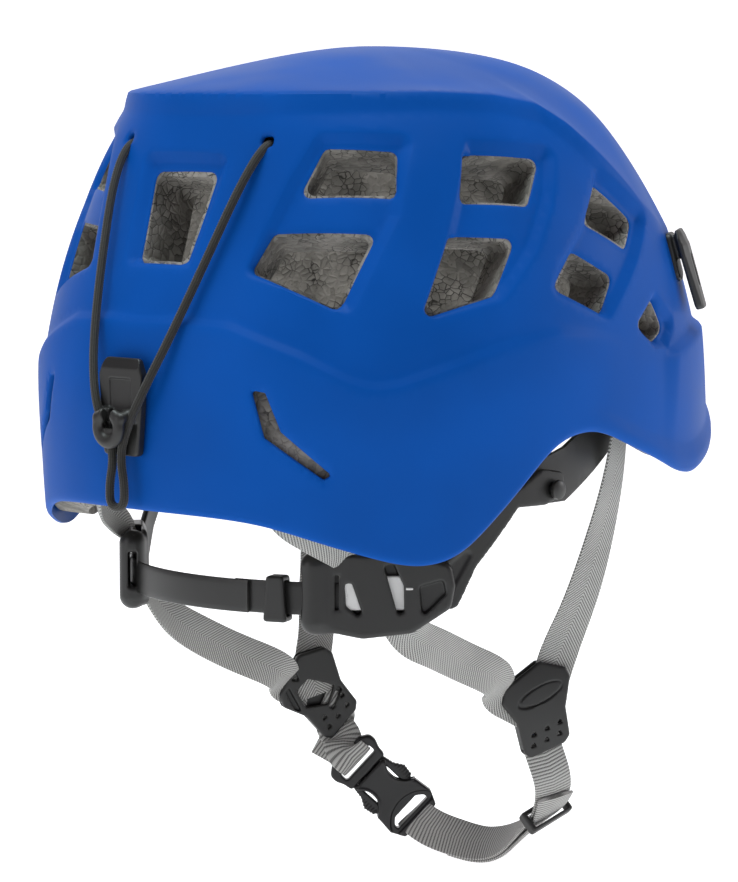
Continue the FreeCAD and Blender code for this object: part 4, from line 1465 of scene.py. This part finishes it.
    def dress_band(self, side: Side, palette: Palette) -> None:
        """One of the two size bands that overlap behind the head."""
        first, last, out = (10, 37, -0.3) if side is Side.RIGHT else (-37, 14, 1.4)
        turns = np.linspace(first, last, 9)
        stations = [(tuple(self.on_ring(t, -49, out)), tuple(self.outward(t))) for t in turns]
        band = ribbon(f"size_band_{side.label}", stations, 11.6, 1.5, 1.5)
        settle(band, palette.black, "nape", [f"nape_band_{side.label}"])

    def dress_pivot(self, side: Side, palette: Palette) -> None:
        """Headed stud that the arm turns on."""
        profile = [
            (0.6, 2.2), (2.9, 2.1), (3.5, 1.7), (3.6, 0.8), (3.4, 0.1), (2.0, 0.0), (2.0, -7.2),
            (1.6, -7.5), (0.5, -7.5),
        ]
        centre = (-side.value * 94.0, self.pivot[1], self.pivot[2])
        stud = lathe(f"pivot_stud_{side.label}", profile[::-1], centre, (-side.value, 0, 0))
        settle(stud, palette.black, "helmet", [f"nape_pivot_{side.label}"])


# --- harness
DIVIDER_FACE = (-0.866, 0.5, 0.0)
DIVIDER_FORWARD = (-0.5, -0.866, 0.0)
BUCKLE_CENTRE = np.array([35.3, -46, -146.6])
BUCKLE_ALONG = unit((-0.53, -0.50, -0.68))
BUCKLE_FACE = (-0.673, 0.735, 0.08)
BUCKLE_AXES = axes_at(BUCKLE_CENTRE, BUCKLE_ALONG, BUCKLE_FACE)


RIGHT_DIVIDER = axes_at((-57, -31.6, -100.6), DIVIDER_FORWARD, DIVIDER_FACE)
LEFT_DIVIDER_TURN = Matrix.Rotation(math.radians(27), 3, Vector(DIVIDER_FACE))
LEFT_DIVIDER = axes_at((57, -28.8, -108), LEFT_DIVIDER_TURN @ Vector(DIVIDER_FORWARD), DIVIDER_FACE)


def at_right(x: float, y: float, z: float) -> Station:
    """A strap station given in the right divider's own axes."""
    return tuple(RIGHT_DIVIDER[:3, :3] @ np.array([x, y, z]) + RIGHT_DIVIDER[:3, 3]), DIVIDER_FACE


def at_left(x: float, y: float, z: float, outward: bool = False) -> Station:
    """A strap station given in the left divider's own axes, facing in or out."""
    look = tuple(-c for c in DIVIDER_FACE) if outward else DIVIDER_FACE
    return tuple(LEFT_DIVIDER[:3, :3] @ np.array([x, y, z]) + LEFT_DIVIDER[:3, 3]), look


def at_buckle(x: float, y: float, z: float) -> Point:
    """A point given in the buckle's own axes."""
    return tuple(BUCKLE_AXES[:3, :3] @ np.array([x, y, z]) + BUCKLE_AXES[:3, 3])


@dataclass
class Divider:
    """Triangular strap divider: a smooth face with a plain oval, and a ribbed open back."""

    side: Side
    place: Array
    outline: tuple = (
        (-14, 7), (-15, 1), (-8.5, -7), (-5.5, -18.5), (-3, -20.5), (11, -15), (13, -12),
        (11, -1), (13, 11), (11, 14.5), (0, 17),
    )
    pocket: tuple = (
        (-20, 13), (-20, -2), (-6, -9), (-5, -30), (14, -30), (12, -2), (12, 26), (-6, 26),
    )
    window: tuple = ((-7.5, 4.2), (-7.0, -3.5), (2.0, -7.0), (7.6, -1.2), (-1.0, 6.4))
    bulge: float = 0.0035

    def shape(self, p: Array) -> Array:
        """Distance field with the smooth face towards +z."""
        rise = self.bulge * (p[:, 0:1] ** 2 + (p[:, 1:2] + 1) ** 2) - 0.5
        body = prism(self.outline, -3.1, 3.1, 1.0, 2.2)(p + rise * (p[:, 2:3] > 0) * [0, 0, 1])
        oval = np.hypot((p[:, 0] - 0.6) / 8.6, (p[:, 1] - 4.2 - 0.42 * p[:, 0]) / 3.4)
        body = np.maximum(body, -(np.hypot((oval - 1) * 5, p[:, 2] - 3.3) - 0.42))
        body = soft_cut(body, prism(self.pocket, -0.9, 1.3, 0.3, 1.0)(p), 0.4)
        window = prism(self.window, -9, -0.4, 0.3, 0.8)(p)
        vent = prism([(-7.6, 9.4), (-4.2, 10.8), (-4.4, 7.6)], -9, -1.0, 0.2, 0.4)(p)
        trough = prism([(-11.6, 6.0), (-9.6, 7.2), (-9.2, -4.6), (-11.4, -2.0)], -9, -1.6, 0.2, 0.6)(p)
        bar = prism([(1.2, -8.2), (8.6, -2.4), (9.8, -4.2), (3.0, -9.6)], -9, -1.2, 0.2, 0.5)(p)
        body = soft_cut(body, np.minimum(np.minimum(window, vent), np.minimum(trough, bar)), 0.5)
        for i in range(3):
            for k in range(2):
                x, y = -2.0 + 5.2 * i, -15.4 + 2.2 * i + 4.4 * k
                hole = [(x - 1.3, y - 1.0), (x + 1.3, y - 0.4), (x + 0.1, y + 1.3)]
                body = soft_cut(body, prism(hole, -9, 9, 0.1, 0.3)(p), 0.3)
        return body

    def build(self, palette: Palette) -> None:
        """Make the divider and set it on the helmet."""
        def turned(p: Array) -> Array:
            """The same shape with its open back towards +z."""
            return self.shape(p * [1, 1, -1])

        shape = self.shape if self.side is Side.RIGHT else turned
        moulding = Moulding(f"divider_{self.side.label}", shape, (-17, -23, -5), (15, 19, 5), 0.33)
        node = f"strap_divider_{self.side.label}"
        settle(moulding.build(self.place), palette.black, "helmet", [node])


@dataclass
class Buckle:
    """Side-release buckle: a frame with two sprung arms, and a waisted socket."""

    def frame_shape(self, p: Array) -> Array:
        """Frame that the short strap loops through, with its guide tongue."""
        half = [(-21, -8), (-18.5, -11.6), (-12, -11.9), (-8.2, -9.5)]
        body = prism(half + [(x, -y) for x, y in half[::-1]], -2.3, 2.3, 1.2, 2.6)(p)
        body = soft_cut(body, brick((-14.2, 0, 0), (3.4, 16.4, 12), 0.8)(p), 0.8)
        tongue = brick((-2.5, 0, 0), (15, 4.6, 2.4), 0.8)(p)
        hollow = rod((-10.2, 17.5, 3), (-10.2, 17.5, -3), 7.4)(p)
        other = rod((-10.2, -17.5, 3), (-10.2, -17.5, -3), 7.4)(p)
        return soft_cut(soft_join(body, tongue, 1.5), np.minimum(hollow, other), 1.0)

    def arm_shape(self, p: Array) -> Array:
        """Curved sprung arm with a ribbed thumb pad."""
        outline = [
            (-8.6, 6.4), (-8.4, 8.8), (-3.5, 9.6), (0.5, 12.0), (5, 11.2), (6.6, 8.4),
            (5.5, 6.6), (-3, 6.8),
        ]
        body = prism(outline, -1.7, 1.7, 0.6, 0.9)(p)
        ribs = 0.16 * np.cos(p[:, 0] * TAU / 1.3) * (p[:, 1] > 9)
        return body + ribs

    def socket_shape(self, p: Array) -> Array:
        """Waisted socket with side windows and an arched strap slot."""
        top = [(-8, -8.6), (-3, -5.6), (1.5, -5.4), (5.5, -8.6), (7.5, -11), (15, -11.8), (20.5, -9.0),
               (20.5, 9.0), (15, 11.8), (7.5, 11), (5.5, 8.6), (1.5, 5.4), (-3, 5.6), (-8, 8.6)]
        body = prism(top, -3.3, 3.3, 0.9, 1.0)(p)
        inside = brick((-3, 0, 0), (20.5, 30, 3.8), 0.4)(p)
        body = soft_cut(body, inside, 0.4)
        arch = np.hypot((p[:, 0] - 20.0) / 9.6, p[:, 1] / 10.6) - 1
        arch_cut = np.maximum(np.maximum(arch * 9.0, 12.0 - p[:, 0]), p[:, 0] - 16.0)
        body = soft_cut(body, np.maximum(arch_cut, np.abs(p[:, 1]) - 8.6), 0.6)
        step = np.maximum(arch * 9.0 - 1.6, 2.3 - p[:, 2])
        body = soft_cut(body, np.maximum(step, p[:, 0] - 17.5), 0.5)
        rib = np.abs(np.hypot((p[:, 0] + 0.8) / 8.0, (np.abs(p[:, 1]) - 13.6) / 8.6) - 1) * 8
        ridge = np.maximum(rib - 0.35, np.abs(p[:, 2]) - 3.55)
        near = np.maximum(body - 0.5, ridge)
        return soft_join(body, near, 0.4)

    def build(self, palette: Palette) -> None:
        """Make the buckle's four mouldings."""
        frame_part = Moulding("buckle_frame", self.frame_shape, (-23, -14, -4), (7, 14, 4), 0.33)
        settle(frame_part.build(BUCKLE_AXES), palette.gloss, "helmet", ["buckle_male"])
        socket = Moulding("buckle_socket", self.socket_shape, (-10, -14, -5), (23, 14, 5), 0.33)
        settle(socket.build(BUCKLE_AXES), palette.gloss, "buckle_female", ["buckle_female"])
        for label, sign in (("upper", 1), ("lower", -1)):
            def arm(p: Array, sign: int = sign) -> Array:
                """The arm on one side of the buckle."""
                return self.arm_shape(p * [1, sign, 1])

            low, high = sorted((sign * 5.0, sign * 14.0))
            piece = Moulding(f"buckle_spring_{label}", arm, (-10, low, -3), (8, high, 3), 0.25)
            body = f"buckle_arm_{label}"
            settle(piece.build(BUCKLE_AXES), palette.gloss, body, [body])


@dataclass
class Harness:
    """Webbing, dividers, buckle and the keeper on the chin strap."""

    width: float = 15.0
    thick: float = 1.5
    layer: float = 2.3
    chin: list = field(default_factory=lambda: [
        (at_buckle(16.2, 0, -1.5), (-0.67, 0.73, 0.1)), (at_buckle(19.2, 0, 3.2), (-0.67, 0.73, 0.1)),
        ((18.5, -54.5, -162), (-0.62, 0.73, 0.25)), ((7.5, -58, -165.5), (-0.55, 0.72, 0.4)),
        ((-5, -59.5, -166.5), (-0.4, 0.7, 0.6)), ((-19, -58, -162.5), (-0.1, 0.65, 0.75)),
        ((-34, -53, -154), (0.25, 0.5, 0.8)), ((-49, -46, -145), (0.5, 0.2, 0.8)),
        ((-57.5, -41, -136), (0.7, -0.2, 0.5)), ((-60, -37, -128), (0.8, -0.4, 0.1)),
        ((-58.5, -34.4, -119), (0.866, -0.5, 0)), ((-57, -31.8, -108), (0.866, -0.5, 0)),
    ])

    def straps(self) -> dict[str, list[Station]]:
        """Stations of the straps that lead to the dividers."""
        return {
            "front_strap_right": [
                ((-83.2, -49.0, 20), (-0.86, -0.5, 0)), ((-84, -46.5, 2), (-0.95, -0.3, 0)),
                ((-78, -44.8, -31), (-1, 0, 0)), ((-69, -41, -63), (-0.95, 0.3, 0)),
                ((-61, -39.5, -82), (-0.866, 0.5, 0)), at_right(4, 4, 0.2), at_right(2, -4, 0.2),
            ],
            "front_strap_left": [
                ((83.2, -49.0, 20), (0.86, -0.5, 0)), ((85, -55, -10), (0.9, -0.45, 0)),
                ((80, -55, -55), (0.9, -0.45, 0)), ((70, -43.3, -74), (0.88, -0.48, 0)),
                ((62, -34.5, -87.5), (0.866, -0.5, 0)), at_left(2, 6, 0.2, True),
                at_left(0, -2, 0.2, True),
            ],
            "rear_strap_lower_right": [
                ((-66.5, 60, -52), (-0.7, 0.7, 0)), ((-64.5, 47, -65), (-0.75, 0.6, 0)),
                ((-64, 38, -69), (-0.8, 0.5, 0)), ((-61, 12, -79.5), (-0.93, 0.3, 0)),
                ((-58, -8, -89), (-0.9, 0.4, 0)), at_right(-15, 4.5, 1.8), at_right(-9, 1, 0.2),
                at_right(-2, -3, 0.2),
            ],
            "rear_strap_lower_left": [
                ((67.5, 58, -55), (0.7, 0.7, 0)), ((66, 46, -68.5), (0.85, 0.5, 0)),
                ((64, 29, -79.5), (0.97, 0.1, 0)), ((60, 8, -90), (0.96, -0.2, 0)),
                ((57, -10, -99.5), (0.9, -0.4, 0)), at_left(-9, 8, 0.4, True),
                at_left(-2, 2, 0.2, True),
            ],
            "rear_strap_upper_right": [
                ((-47, 101, -10), (-0.45, 0.9, 0)), ((-50, 98, -17), (-0.45, 0.9, 0)),
                ((-53.5, 91, -22.5), (-0.5, 0.85, 0)), ((-56.5, 81, -28), (-0.6, 0.8, 0)),
                ((-57.5, 73, -33), (-0.65, 0.75, 0)), ((-59, 68, -40), (-0.7, 0.7, 0)),
            ],
            "rear_strap_upper_left": [
                ((47, 101, -10), (0.45, 0.9, 0)), ((50, 98, -17), (0.45, 0.9, 0)),
                ((53.5, 91, -22.5), (0.5, 0.85, 0)), ((56.5, 81, -28), (0.6, 0.8, 0)),
                ((57.5, 73, -33), (0.65, 0.75, 0)), ((59, 68, -40), (0.7, 0.7, 0)),
            ],
        }

    def dress(self, palette: Palette) -> None:
        """Build the harness."""
        for name, stations in self.straps().items():
            strap = ribbon(name + "_webbing", stations, self.width, self.thick)
            blended = None
            if "rear" in name:
                sign = 1 if name.endswith("left") else -1
                upper = "upper" in name
                start = (sign * 51, 97, -18) if upper else (sign * 61, 8, -86)
                end = (sign * 60, 80, -34) if upper else (sign * 65, 46, -66)
                blended = ("nape", start, end)
            settle(strap, palette.webbing, "helmet", [name], blended)
        self.dress_chin(palette)
        Divider(Side.RIGHT, RIGHT_DIVIDER).build(palette)
        Divider(Side.LEFT, LEFT_DIVIDER).build(palette)
        Buckle().build(palette)
        self.dress_short(palette)
        ring = Moulding("chin_keeper_ring", self.keeper_shape, (-5, -12, -7), (5, 12, 5), 0.3)
        place = axes_at((-49, -46, -145), (-12, 6, 9), (0.5, 0.2, 0.8))
        settle(ring.build(place), palette.black, "strap_keeper", ["strap_keeper"])

    def keeper_shape(self, p: Array) -> Array:
        """Flat ring round the doubled chin strap."""
        body = brick((0, 0, -self.layer / 2), (5.2, 20.6, 8.9), 1.2)(p)
        return soft_cut(body, brick((0, 0, -self.layer / 2), (20, 17.0, 6.1), 0.5)(p), 0.7)

    def dress_chin(self, palette: Palette) -> None:
        """The chin strap and the free tail doubled under it."""
        ends = ("buckle_female", (-20, -58, -162), tuple(at_buckle(24, 0, 0)))
        strap = ribbon("chin_strap_webbing", self.chin, self.width, self.thick)
        settle(strap, palette.ribbed, "helmet", ["chin_strap"], ends)
        under = []
        for point, look in self.chin[3:9]:
            under.append((tuple(np.array(point) - unit(look) * self.layer), look))
        tail = ribbon("chin_strap_tail_webbing", under, self.width, self.thick)
        settle(tail, palette.ribbed, "helmet", ["chin_strap_tail"], ends)

    def dress_short(self, palette: Palette) -> None:
        """Short strap from the left divider, looped round the buckle's bar and back."""
        look = (-0.67, 0.73, 0.1)
        loop = [
            at_left(0, -6, 0.2), at_left(3, -14, 0.2), ((53, -36, -121.5), (-0.866, 0.5, 0)),
            ((48.5, -35.8, -127), (-0.8, 0.6, 0.05)), (at_buckle(-21, 0, 3.6), look),
            (at_buckle(-17.5, 0, 3.4), look), (at_buckle(-14.6, 0, 0.6), BUCKLE_ALONG.tolist()),
        ]
        strap = ribbon("short_strap_webbing", loop, self.width, self.thick, 0.8)
        settle(strap, palette.ribbed, "helmet", ["chin_strap_short"])
        tail = [
            (at_buckle(-15.0, 0, -2.0), BUCKLE_ALONG.tolist()), (at_buckle(-18, 0, -3.4), look),
            (at_buckle(-24, -1.0, -3.6), look), (at_buckle(-32, -3.0, -4.6), look),
        ]
        end = ribbon("short_strap_tail", tail, self.width * 0.96, self.thick, 0.8)
        settle(end, palette.ribbed, "helmet")


# --- head-torch fittings
@dataclass
class TorchFittings:
    """Front clips, rear hook and the elastic cord that hold a head torch."""

    dome: Dome
    clip_turn: float = 128.0
    clip_drop: float = 84.0
    hook_centre: Point = (0, 130.6, 22)
    cord_diameter: float = 3.2
    cord_right: tuple = (
        (-33.7, 88.8, 114.3), (-36.5, 97, 117.4), (-22, 124, 54), (-11.5, 135, 24),
        (-3.2, 134.4, 10), (-1.9, 134.2, 2), (-3.8, 134.3, -6), (-3.6, 134.3, -14.5),
    )

    def clip_shape(self, p: Array) -> Array:
        """Faceted tongue that stands off the shell, joined to a foot at its top."""
        lean = np.array([0, 0, 1]) * (0.02 * (p[:, 0:1] - 6))
        q = p - lean
        half = [(-14.5, -6), (-11, -8), (-4, -8), (15.5, -5.6), (17, -3.5)]
        tongue = prism(half + [(x, -y) for x, y in half[::-1]], 0.9, 4.3, 0.8, 1.6)(q)
        slopes = 0.30 * np.maximum(np.abs(q[:, 1]) - 3.6, 0) + 0.22 * np.maximum(-8 - q[:, 0], 0)
        chamfer = (q[:, 2] - 4.3 + slopes) * 0.9
        tongue = np.maximum(tongue, chamfer)
        slot = prism([(-4.5, -1.6), (8, -1.3), (8, 1.3), (-4.5, 1.6)], 3.2, 9, 0.3, 1.0)(q)
        tongue = soft_cut(tongue, slot, 0.5)
        foot = prism([(-14, -6.5), (3, -6.5), (5, 0), (3, 6.5), (-14, 6.5)], -3.6, -1.4, 0.5, 3.0)(p)
        stem = brick((-8.2, 0, -0.2), (9, 10.5, 5.4), 1.0)(p)
        return soft_join(soft_join(tongue, stem, 1.5), foot, 1.5)

    def hook_shape(self, p: Array) -> Array:
        """Backing plate with a recess, and a curled ring with a notch that traps the cord."""
        half = [(8.6, -18), (10.2, -2), (11, 11), (8.4, 17)]
        base = prism(half + [(-x, y) for x, y in half[::-1]], -1.6, 2.1, 0.9, 1.8)(p)
        bevel = (p[:, 2] - 2.1 + 0.45 * np.maximum(p[:, 1] - 13.4, 0)) * 0.9
        base = np.maximum(base, bevel)
        panel = prism([(-5.4, 9.6), (5.4, 9.6), (4.8, -3), (-4.8, -3)], 1.45, 9, 0.2, 0.6)(p)
        base = soft_cut(base, panel, 0.35)
        ledge = prism([(-9.2, -1.0), (9.2, -1.0), (8.6, -6.0), (-8.6, -6.0)], 1.6, 4.6, 0.8, 1.2)(p)
        gap = prism([(-3.4, 1), (3.4, 1), (2.4, -9), (-2.4, -9)], 1.9, 9, 0.3, 0.8)(p)
        base = soft_join(base, soft_cut(ledge, gap, 0.5), 1.0)
        away = np.hypot(p[:, 0], p[:, 1] + 7.6)
        section = np.hypot((away - 5.2) / 2.35, (p[:, 2] - 7.6) / 2.0) - 1
        ring = section * 2.0
        stems = rod((5.9, -4.0, 7.0), (6.2, -2.6, 2.2), 2.0)(np.abs(p) * [1, 0, 0] + p * [0, 1, 1])
        notch = prism([(-3.6, 3.0), (3.6, 3.0), (1.2, -6.4), (-1.2, -6.4)], 5.2, 12, 0.2, 0.5)(p)
        ring = soft_cut(soft_join(ring, stems, 1.4), notch, 0.9)
        bowl = np.maximum(away - 4.6, np.abs(p[:, 2] - 6.9) - 0.7)
        return soft_join(base, soft_join(ring, np.maximum(bowl, p[:, 1] + 8.0), 0.8), 0.9)

    def knot_shape(self, p: Array) -> Array:
        """Overhand knot: three rings of cord pulled together."""
        out = np.full(len(p), 99.0)
        for k in range(3):
            turn = Matrix.Rotation(TAU * k / 3, 3, "Z") @ Matrix.Rotation(0.9, 3, "X")
            q = p @ np.array(turn)
            around = np.hypot(np.hypot(q[:, 0], q[:, 1]) - 1.7, q[:, 2]) - 1.35
            out = soft_join(out, around, 0.3)
        return out

    def dress(self, palette: Palette) -> None:
        """Build the fittings and the cord."""
        upper, _ = self.dome.place(self.clip_turn, self.clip_drop - 10)
        lower, _ = self.dome.place(self.clip_turn, self.clip_drop + 10)
        centre, out = self.dome.place(self.clip_turn, self.clip_drop)
        place = axes_at(centre + out * 2.7, lower - upper, out)
        for side in Side:
            clip = Moulding(f"torch_clip_{side.label}", self.clip_shape, (-17, -10, -5), (19, 10, 6.5), 0.4)
            clip = clip.build(place, side is Side.LEFT)
            settle(clip, palette.black, "helmet", [f"front_clip_{side.label}"])
            self.dress_anchor(side, palette)
        hook = Moulding("cord_hook", self.hook_shape, (-13, -20, -3), (13, 19, 12), 0.35)
        place = axes_at(self.hook_centre, (-1, 0, 0), (0, 1, 0))
        settle(hook.build(place), palette.black, "helmet", ["rear_hook_plate"])
        self.dress_cord(palette)

    def dress_anchor(self, side: Side, palette: Palette) -> None:
        """The plate and rivet that hold the front strap inside the rim."""
        out = np.array([-side.value * 0.86, -0.5, 0])
        centre = np.array([-side.value * 83.2, -49.0, 19]) + out * 2
        shape = brick((0, 0, 0), (18, 12, 2.0), 0.7)
        plate = Moulding(f"strap_anchor_{side.label}", shape, (-10, -7, -2), (10, 7, 2), 0.4)
        place = axes_at(centre, np.cross((0, 0, 1), out), out)
        settle(plate.build(place), palette.black, "helmet", [f"front_anchor_{side.label}"])
        profile = [
            (0.4, 0.0), (2.2, 0.1), (3.3, 0.6), (3.4, 1.1), (3.1, 1.3), (1.6, 1.35), (1.6, 5.0),
            (0.3, 5.0),
        ]
        start = np.array([-side.value * 83.2, -49.0, 17]) - out * 2.2
        rivet = lathe(f"strap_rivet_{side.label}", profile, tuple(start), tuple(out))
        settle(rivet, palette.steel, "helmet", [f"front_rivet_{side.label}"])

    def dress_cord(self, palette: Palette) -> None:
        """The elastic from its right hole, behind the hook and back to the left hole."""
        route = list(self.cord_right) + [(-x, y, z) for x, y, z in reversed(self.cord_right)]
        line = self.spline_line(route)
        cord = self.tube("elastic_retainer", line, self.cord_diameter / 2)
        for side in Side:
            end, inner = (np.array(p) * [side.value, 1, 1] for p in self.cord_right[:2])
            centre = end + unit(end - inner) * 2.6
            place = axes_at(centre, np.cross(unit(end - inner), (0, 0, 1)), end - inner)
            knot = Moulding(f"cord_knot_{side.label}", self.knot_shape, (-4, -4, -4), (4, 4, 4), 0.25)
            names = ["cord_knots"] if side is Side.RIGHT else []
            settle(knot.build(place), palette.elastic, "helmet", names)
        settle(cord, palette.elastic, "helmet", ["elastic_cord"])

    def spline_line(self, route: Sequence[Point]) -> Array:
        """Points read from the smooth spline that has the route's points as control points."""
        curve = bpy.data.curves.new("cord_route", "CURVE")
        curve.dimensions = "3D"
        spline = curve.splines.new("NURBS")
        spline.points.add(len(route) - 1)
        for point, (x, y, z) in zip(spline.points, route):
            point.co = (x, y, z, 1)
        spline.order_u = 3
        spline.use_endpoint_u = True
        spline.resolution_u = 40
        holder = bpy.data.objects.new("cord_route", curve)
        bpy.context.scene.collection.objects.link(holder)
        graph = bpy.context.evaluated_depsgraph_get()
        graph.update()
        mesh = bpy.data.meshes.new_from_object(holder.evaluated_get(graph))
        points = np.array([v.co[:] for v in mesh.vertices])
        bpy.data.objects.remove(holder)
        bpy.data.curves.remove(curve)
        bpy.data.meshes.remove(mesh)
        far = np.concatenate([[True], np.linalg.norm(np.diff(points, axis=0), axis=1) > 1e-4])
        return points[far]

    def tube(self, name: str, line: Array, radius: float) -> bpy.types.Object:
        """A braided tube: diamonds of yarn stand out of a round section."""
        lengths = np.concatenate([[0], np.cumsum(np.linalg.norm(np.diff(line, axis=0), axis=1))])
        at = np.linspace(0, lengths[-1], int(lengths[-1] / 0.32))
        points = np.stack([np.interp(at, lengths, c) for c in line.T], 1)
        along = np.gradient(points, axis=0)
        along /= np.linalg.norm(along, axis=1)[:, None]
        across = np.zeros_like(points)
        side = unit(np.cross(along[0], (0, 1, 0.1)))
        for i, direction in enumerate(along):
            side = unit(side - direction * (side @ direction))
            across[i] = side
        other = np.cross(along, across)
        turns = 24
        angle = TAU * np.arange(turns) / turns
        yarns, lay = 6 * angle[None, :], at[:, None] * TAU / 1.9
        braid = np.cos(yarns + lay) * np.cos(yarns - lay)
        reach = radius - 0.14 + 0.16 * np.abs(braid)
        ring = across[:, None] * np.cos(angle)[None, :, None] + other[:, None] * np.sin(angle)[None, :, None]
        corners = (points[:, None] + ring * reach[..., None]).reshape(-1, 3)
        faces = []
        for i in range(len(at) - 1):
            for k in range(turns):
                j = (k + 1) % turns
                faces.append((i * turns + k, i * turns + j, (i + 1) * turns + j, (i + 1) * turns + k))
        faces.append(tuple(range(turns))[::-1])
        faces.append(tuple(range((len(at) - 1) * turns, len(at) * turns)))
        piece = make_piece(name, corners, faces)
        uv = piece.data.uv_layers.new(name="strap")
        corner = np.zeros(len(piece.data.loops), int)
        piece.data.loops.foreach_get("vertex_index", corner)
        place = np.stack([(corner % turns) / 4.0, at[corner // turns] / 0.95], 1)
        uv.data.foreach_set("uv", place.ravel())
        return piece


# --- studio
@dataclass
class Studio:
    """Pale floor and backdrop, soft lights and the camera."""

    back: Point = (-0.67341, 0.73490, 0.08020)
    distance: float = 1.4
    aim: Point = (-0.0011, 0.0023, -0.00055)
    lens: float = 149.1
    floor_drop: float = 0.012
    apron: float = 5.0
    wall: float = 3.2
    bend: float = 1.4
    half_width: float = 5.0
    wall_top: float = 5.0
    paper_glow: float = 0.74
    room_glow: float = 0.22
    room_tint: tuple = (1, 0.9, 1, 1)
    overhead_tint: tuple = (0.88, 1.0, 1.0)

    def build(self) -> None:
        """Set up the stage, the lights and the camera."""
        low = CAD_BOX[0].z - self.floor_drop
        self.backdrop(low)
        back = Vector(self.back).normalized()
        right = Vector((-0.73728, -0.67559, 0))
        above = Vector((0, 0, 1.25)) + back * 0.15 - right * 0.1
        self.light("overhead_softbox", above, 0.8, 14, self.overhead_tint)
        self.light("left_softbox", back * 0.9 - right * 1.4 + Vector((0, 0, 0.35)), 0.7, 3.2)
        self.light("right_strip", right * 1.35 - back * 0.35 + Vector((0, 0, 0.35)), 0.4, 4)
        world = bpy.data.worlds.new("studio")
        world.use_nodes = True
        glow = world.node_tree.nodes["Background"].inputs
        glow["Color"].default_value = self.room_tint
        glow["Strength"].default_value = self.room_glow
        scene = bpy.context.scene
        scene.world = world
        scene.view_settings.view_transform = "Standard"
        camera = bpy.data.objects.new("camera", bpy.data.cameras.new("camera"))
        scene.collection.objects.link(camera)
        camera.data.lens = self.lens
        camera.data.sensor_width = 36
        camera.location = Vector((0, 0, 0.030)) + back * self.distance
        look = camera.location - Vector(self.aim)
        camera.rotation_euler = look.to_track_quat("Z", "Y").to_euler()
        scene.camera = camera

    def light(self, name: str, place: Vector, size: float, power: float,
              tint: tuple = (1, 1, 1)) -> None:
        """Add a square area light aimed at the helmet."""
        data = bpy.data.lights.new(name, "AREA")
        data.size = size
        data.energy = power
        data.color = tint
        lamp = bpy.data.objects.new(name, data)
        lamp.location = place
        lamp.rotation_euler = place.to_track_quat("Z", "Y").to_euler()
        bpy.context.scene.collection.objects.link(lamp)

    def backdrop(self, low: float) -> None:
        """A wide pale floor that curves up behind the helmet."""
        back = np.array([*unit(np.array(self.back) * [1, 1, 0])])
        right = np.cross(back, (0, 0, 1))
        curve = np.linspace(0, math.pi / 2, 24)
        bend = [(-self.wall - self.bend * math.sin(t), self.bend * (1 - math.cos(t))) for t in curve]
        profile = [(self.apron, 0.0), *bend, (-self.wall - self.bend, self.wall_top)]
        line = [back * reach + np.array([0, 0, low + height]) for reach, height in profile]
        sides = (-self.half_width, self.half_width)
        points = [(p + right * side) / MM for side in sides for p in line]
        count = len(line)
        faces = [(i, i + 1, count + i + 1, count + i) for i in range(count - 1)]
        sweep = make_piece("backdrop", points, faces)
        fixed = {"Base Color": (0.85, 0.85, 0.85, 1), "Roughness": 0.9,
                 "Emission Color": (1, 1, 1, 1), "Emission Strength": self.paper_glow}
        material, _, _, _ = start_material("pale_paper", fixed)
        sweep.data.materials.append(material)


def main() -> None:
    """Build every part of the helmet and its studio."""
    logging.basicConfig(level=logging.INFO, format="%(name)s: %(message)s")
    palette = Palette(Effects())
    shell = HelmetShell()
    TorchFittings(shell.dome).dress(palette)
    shell.dress(palette)
    Lining(shell).dress(palette)
    NapeCradle().dress(palette)
    Harness().dress(palette)
    Studio().build()


if __name__ == "__main__":
    main()
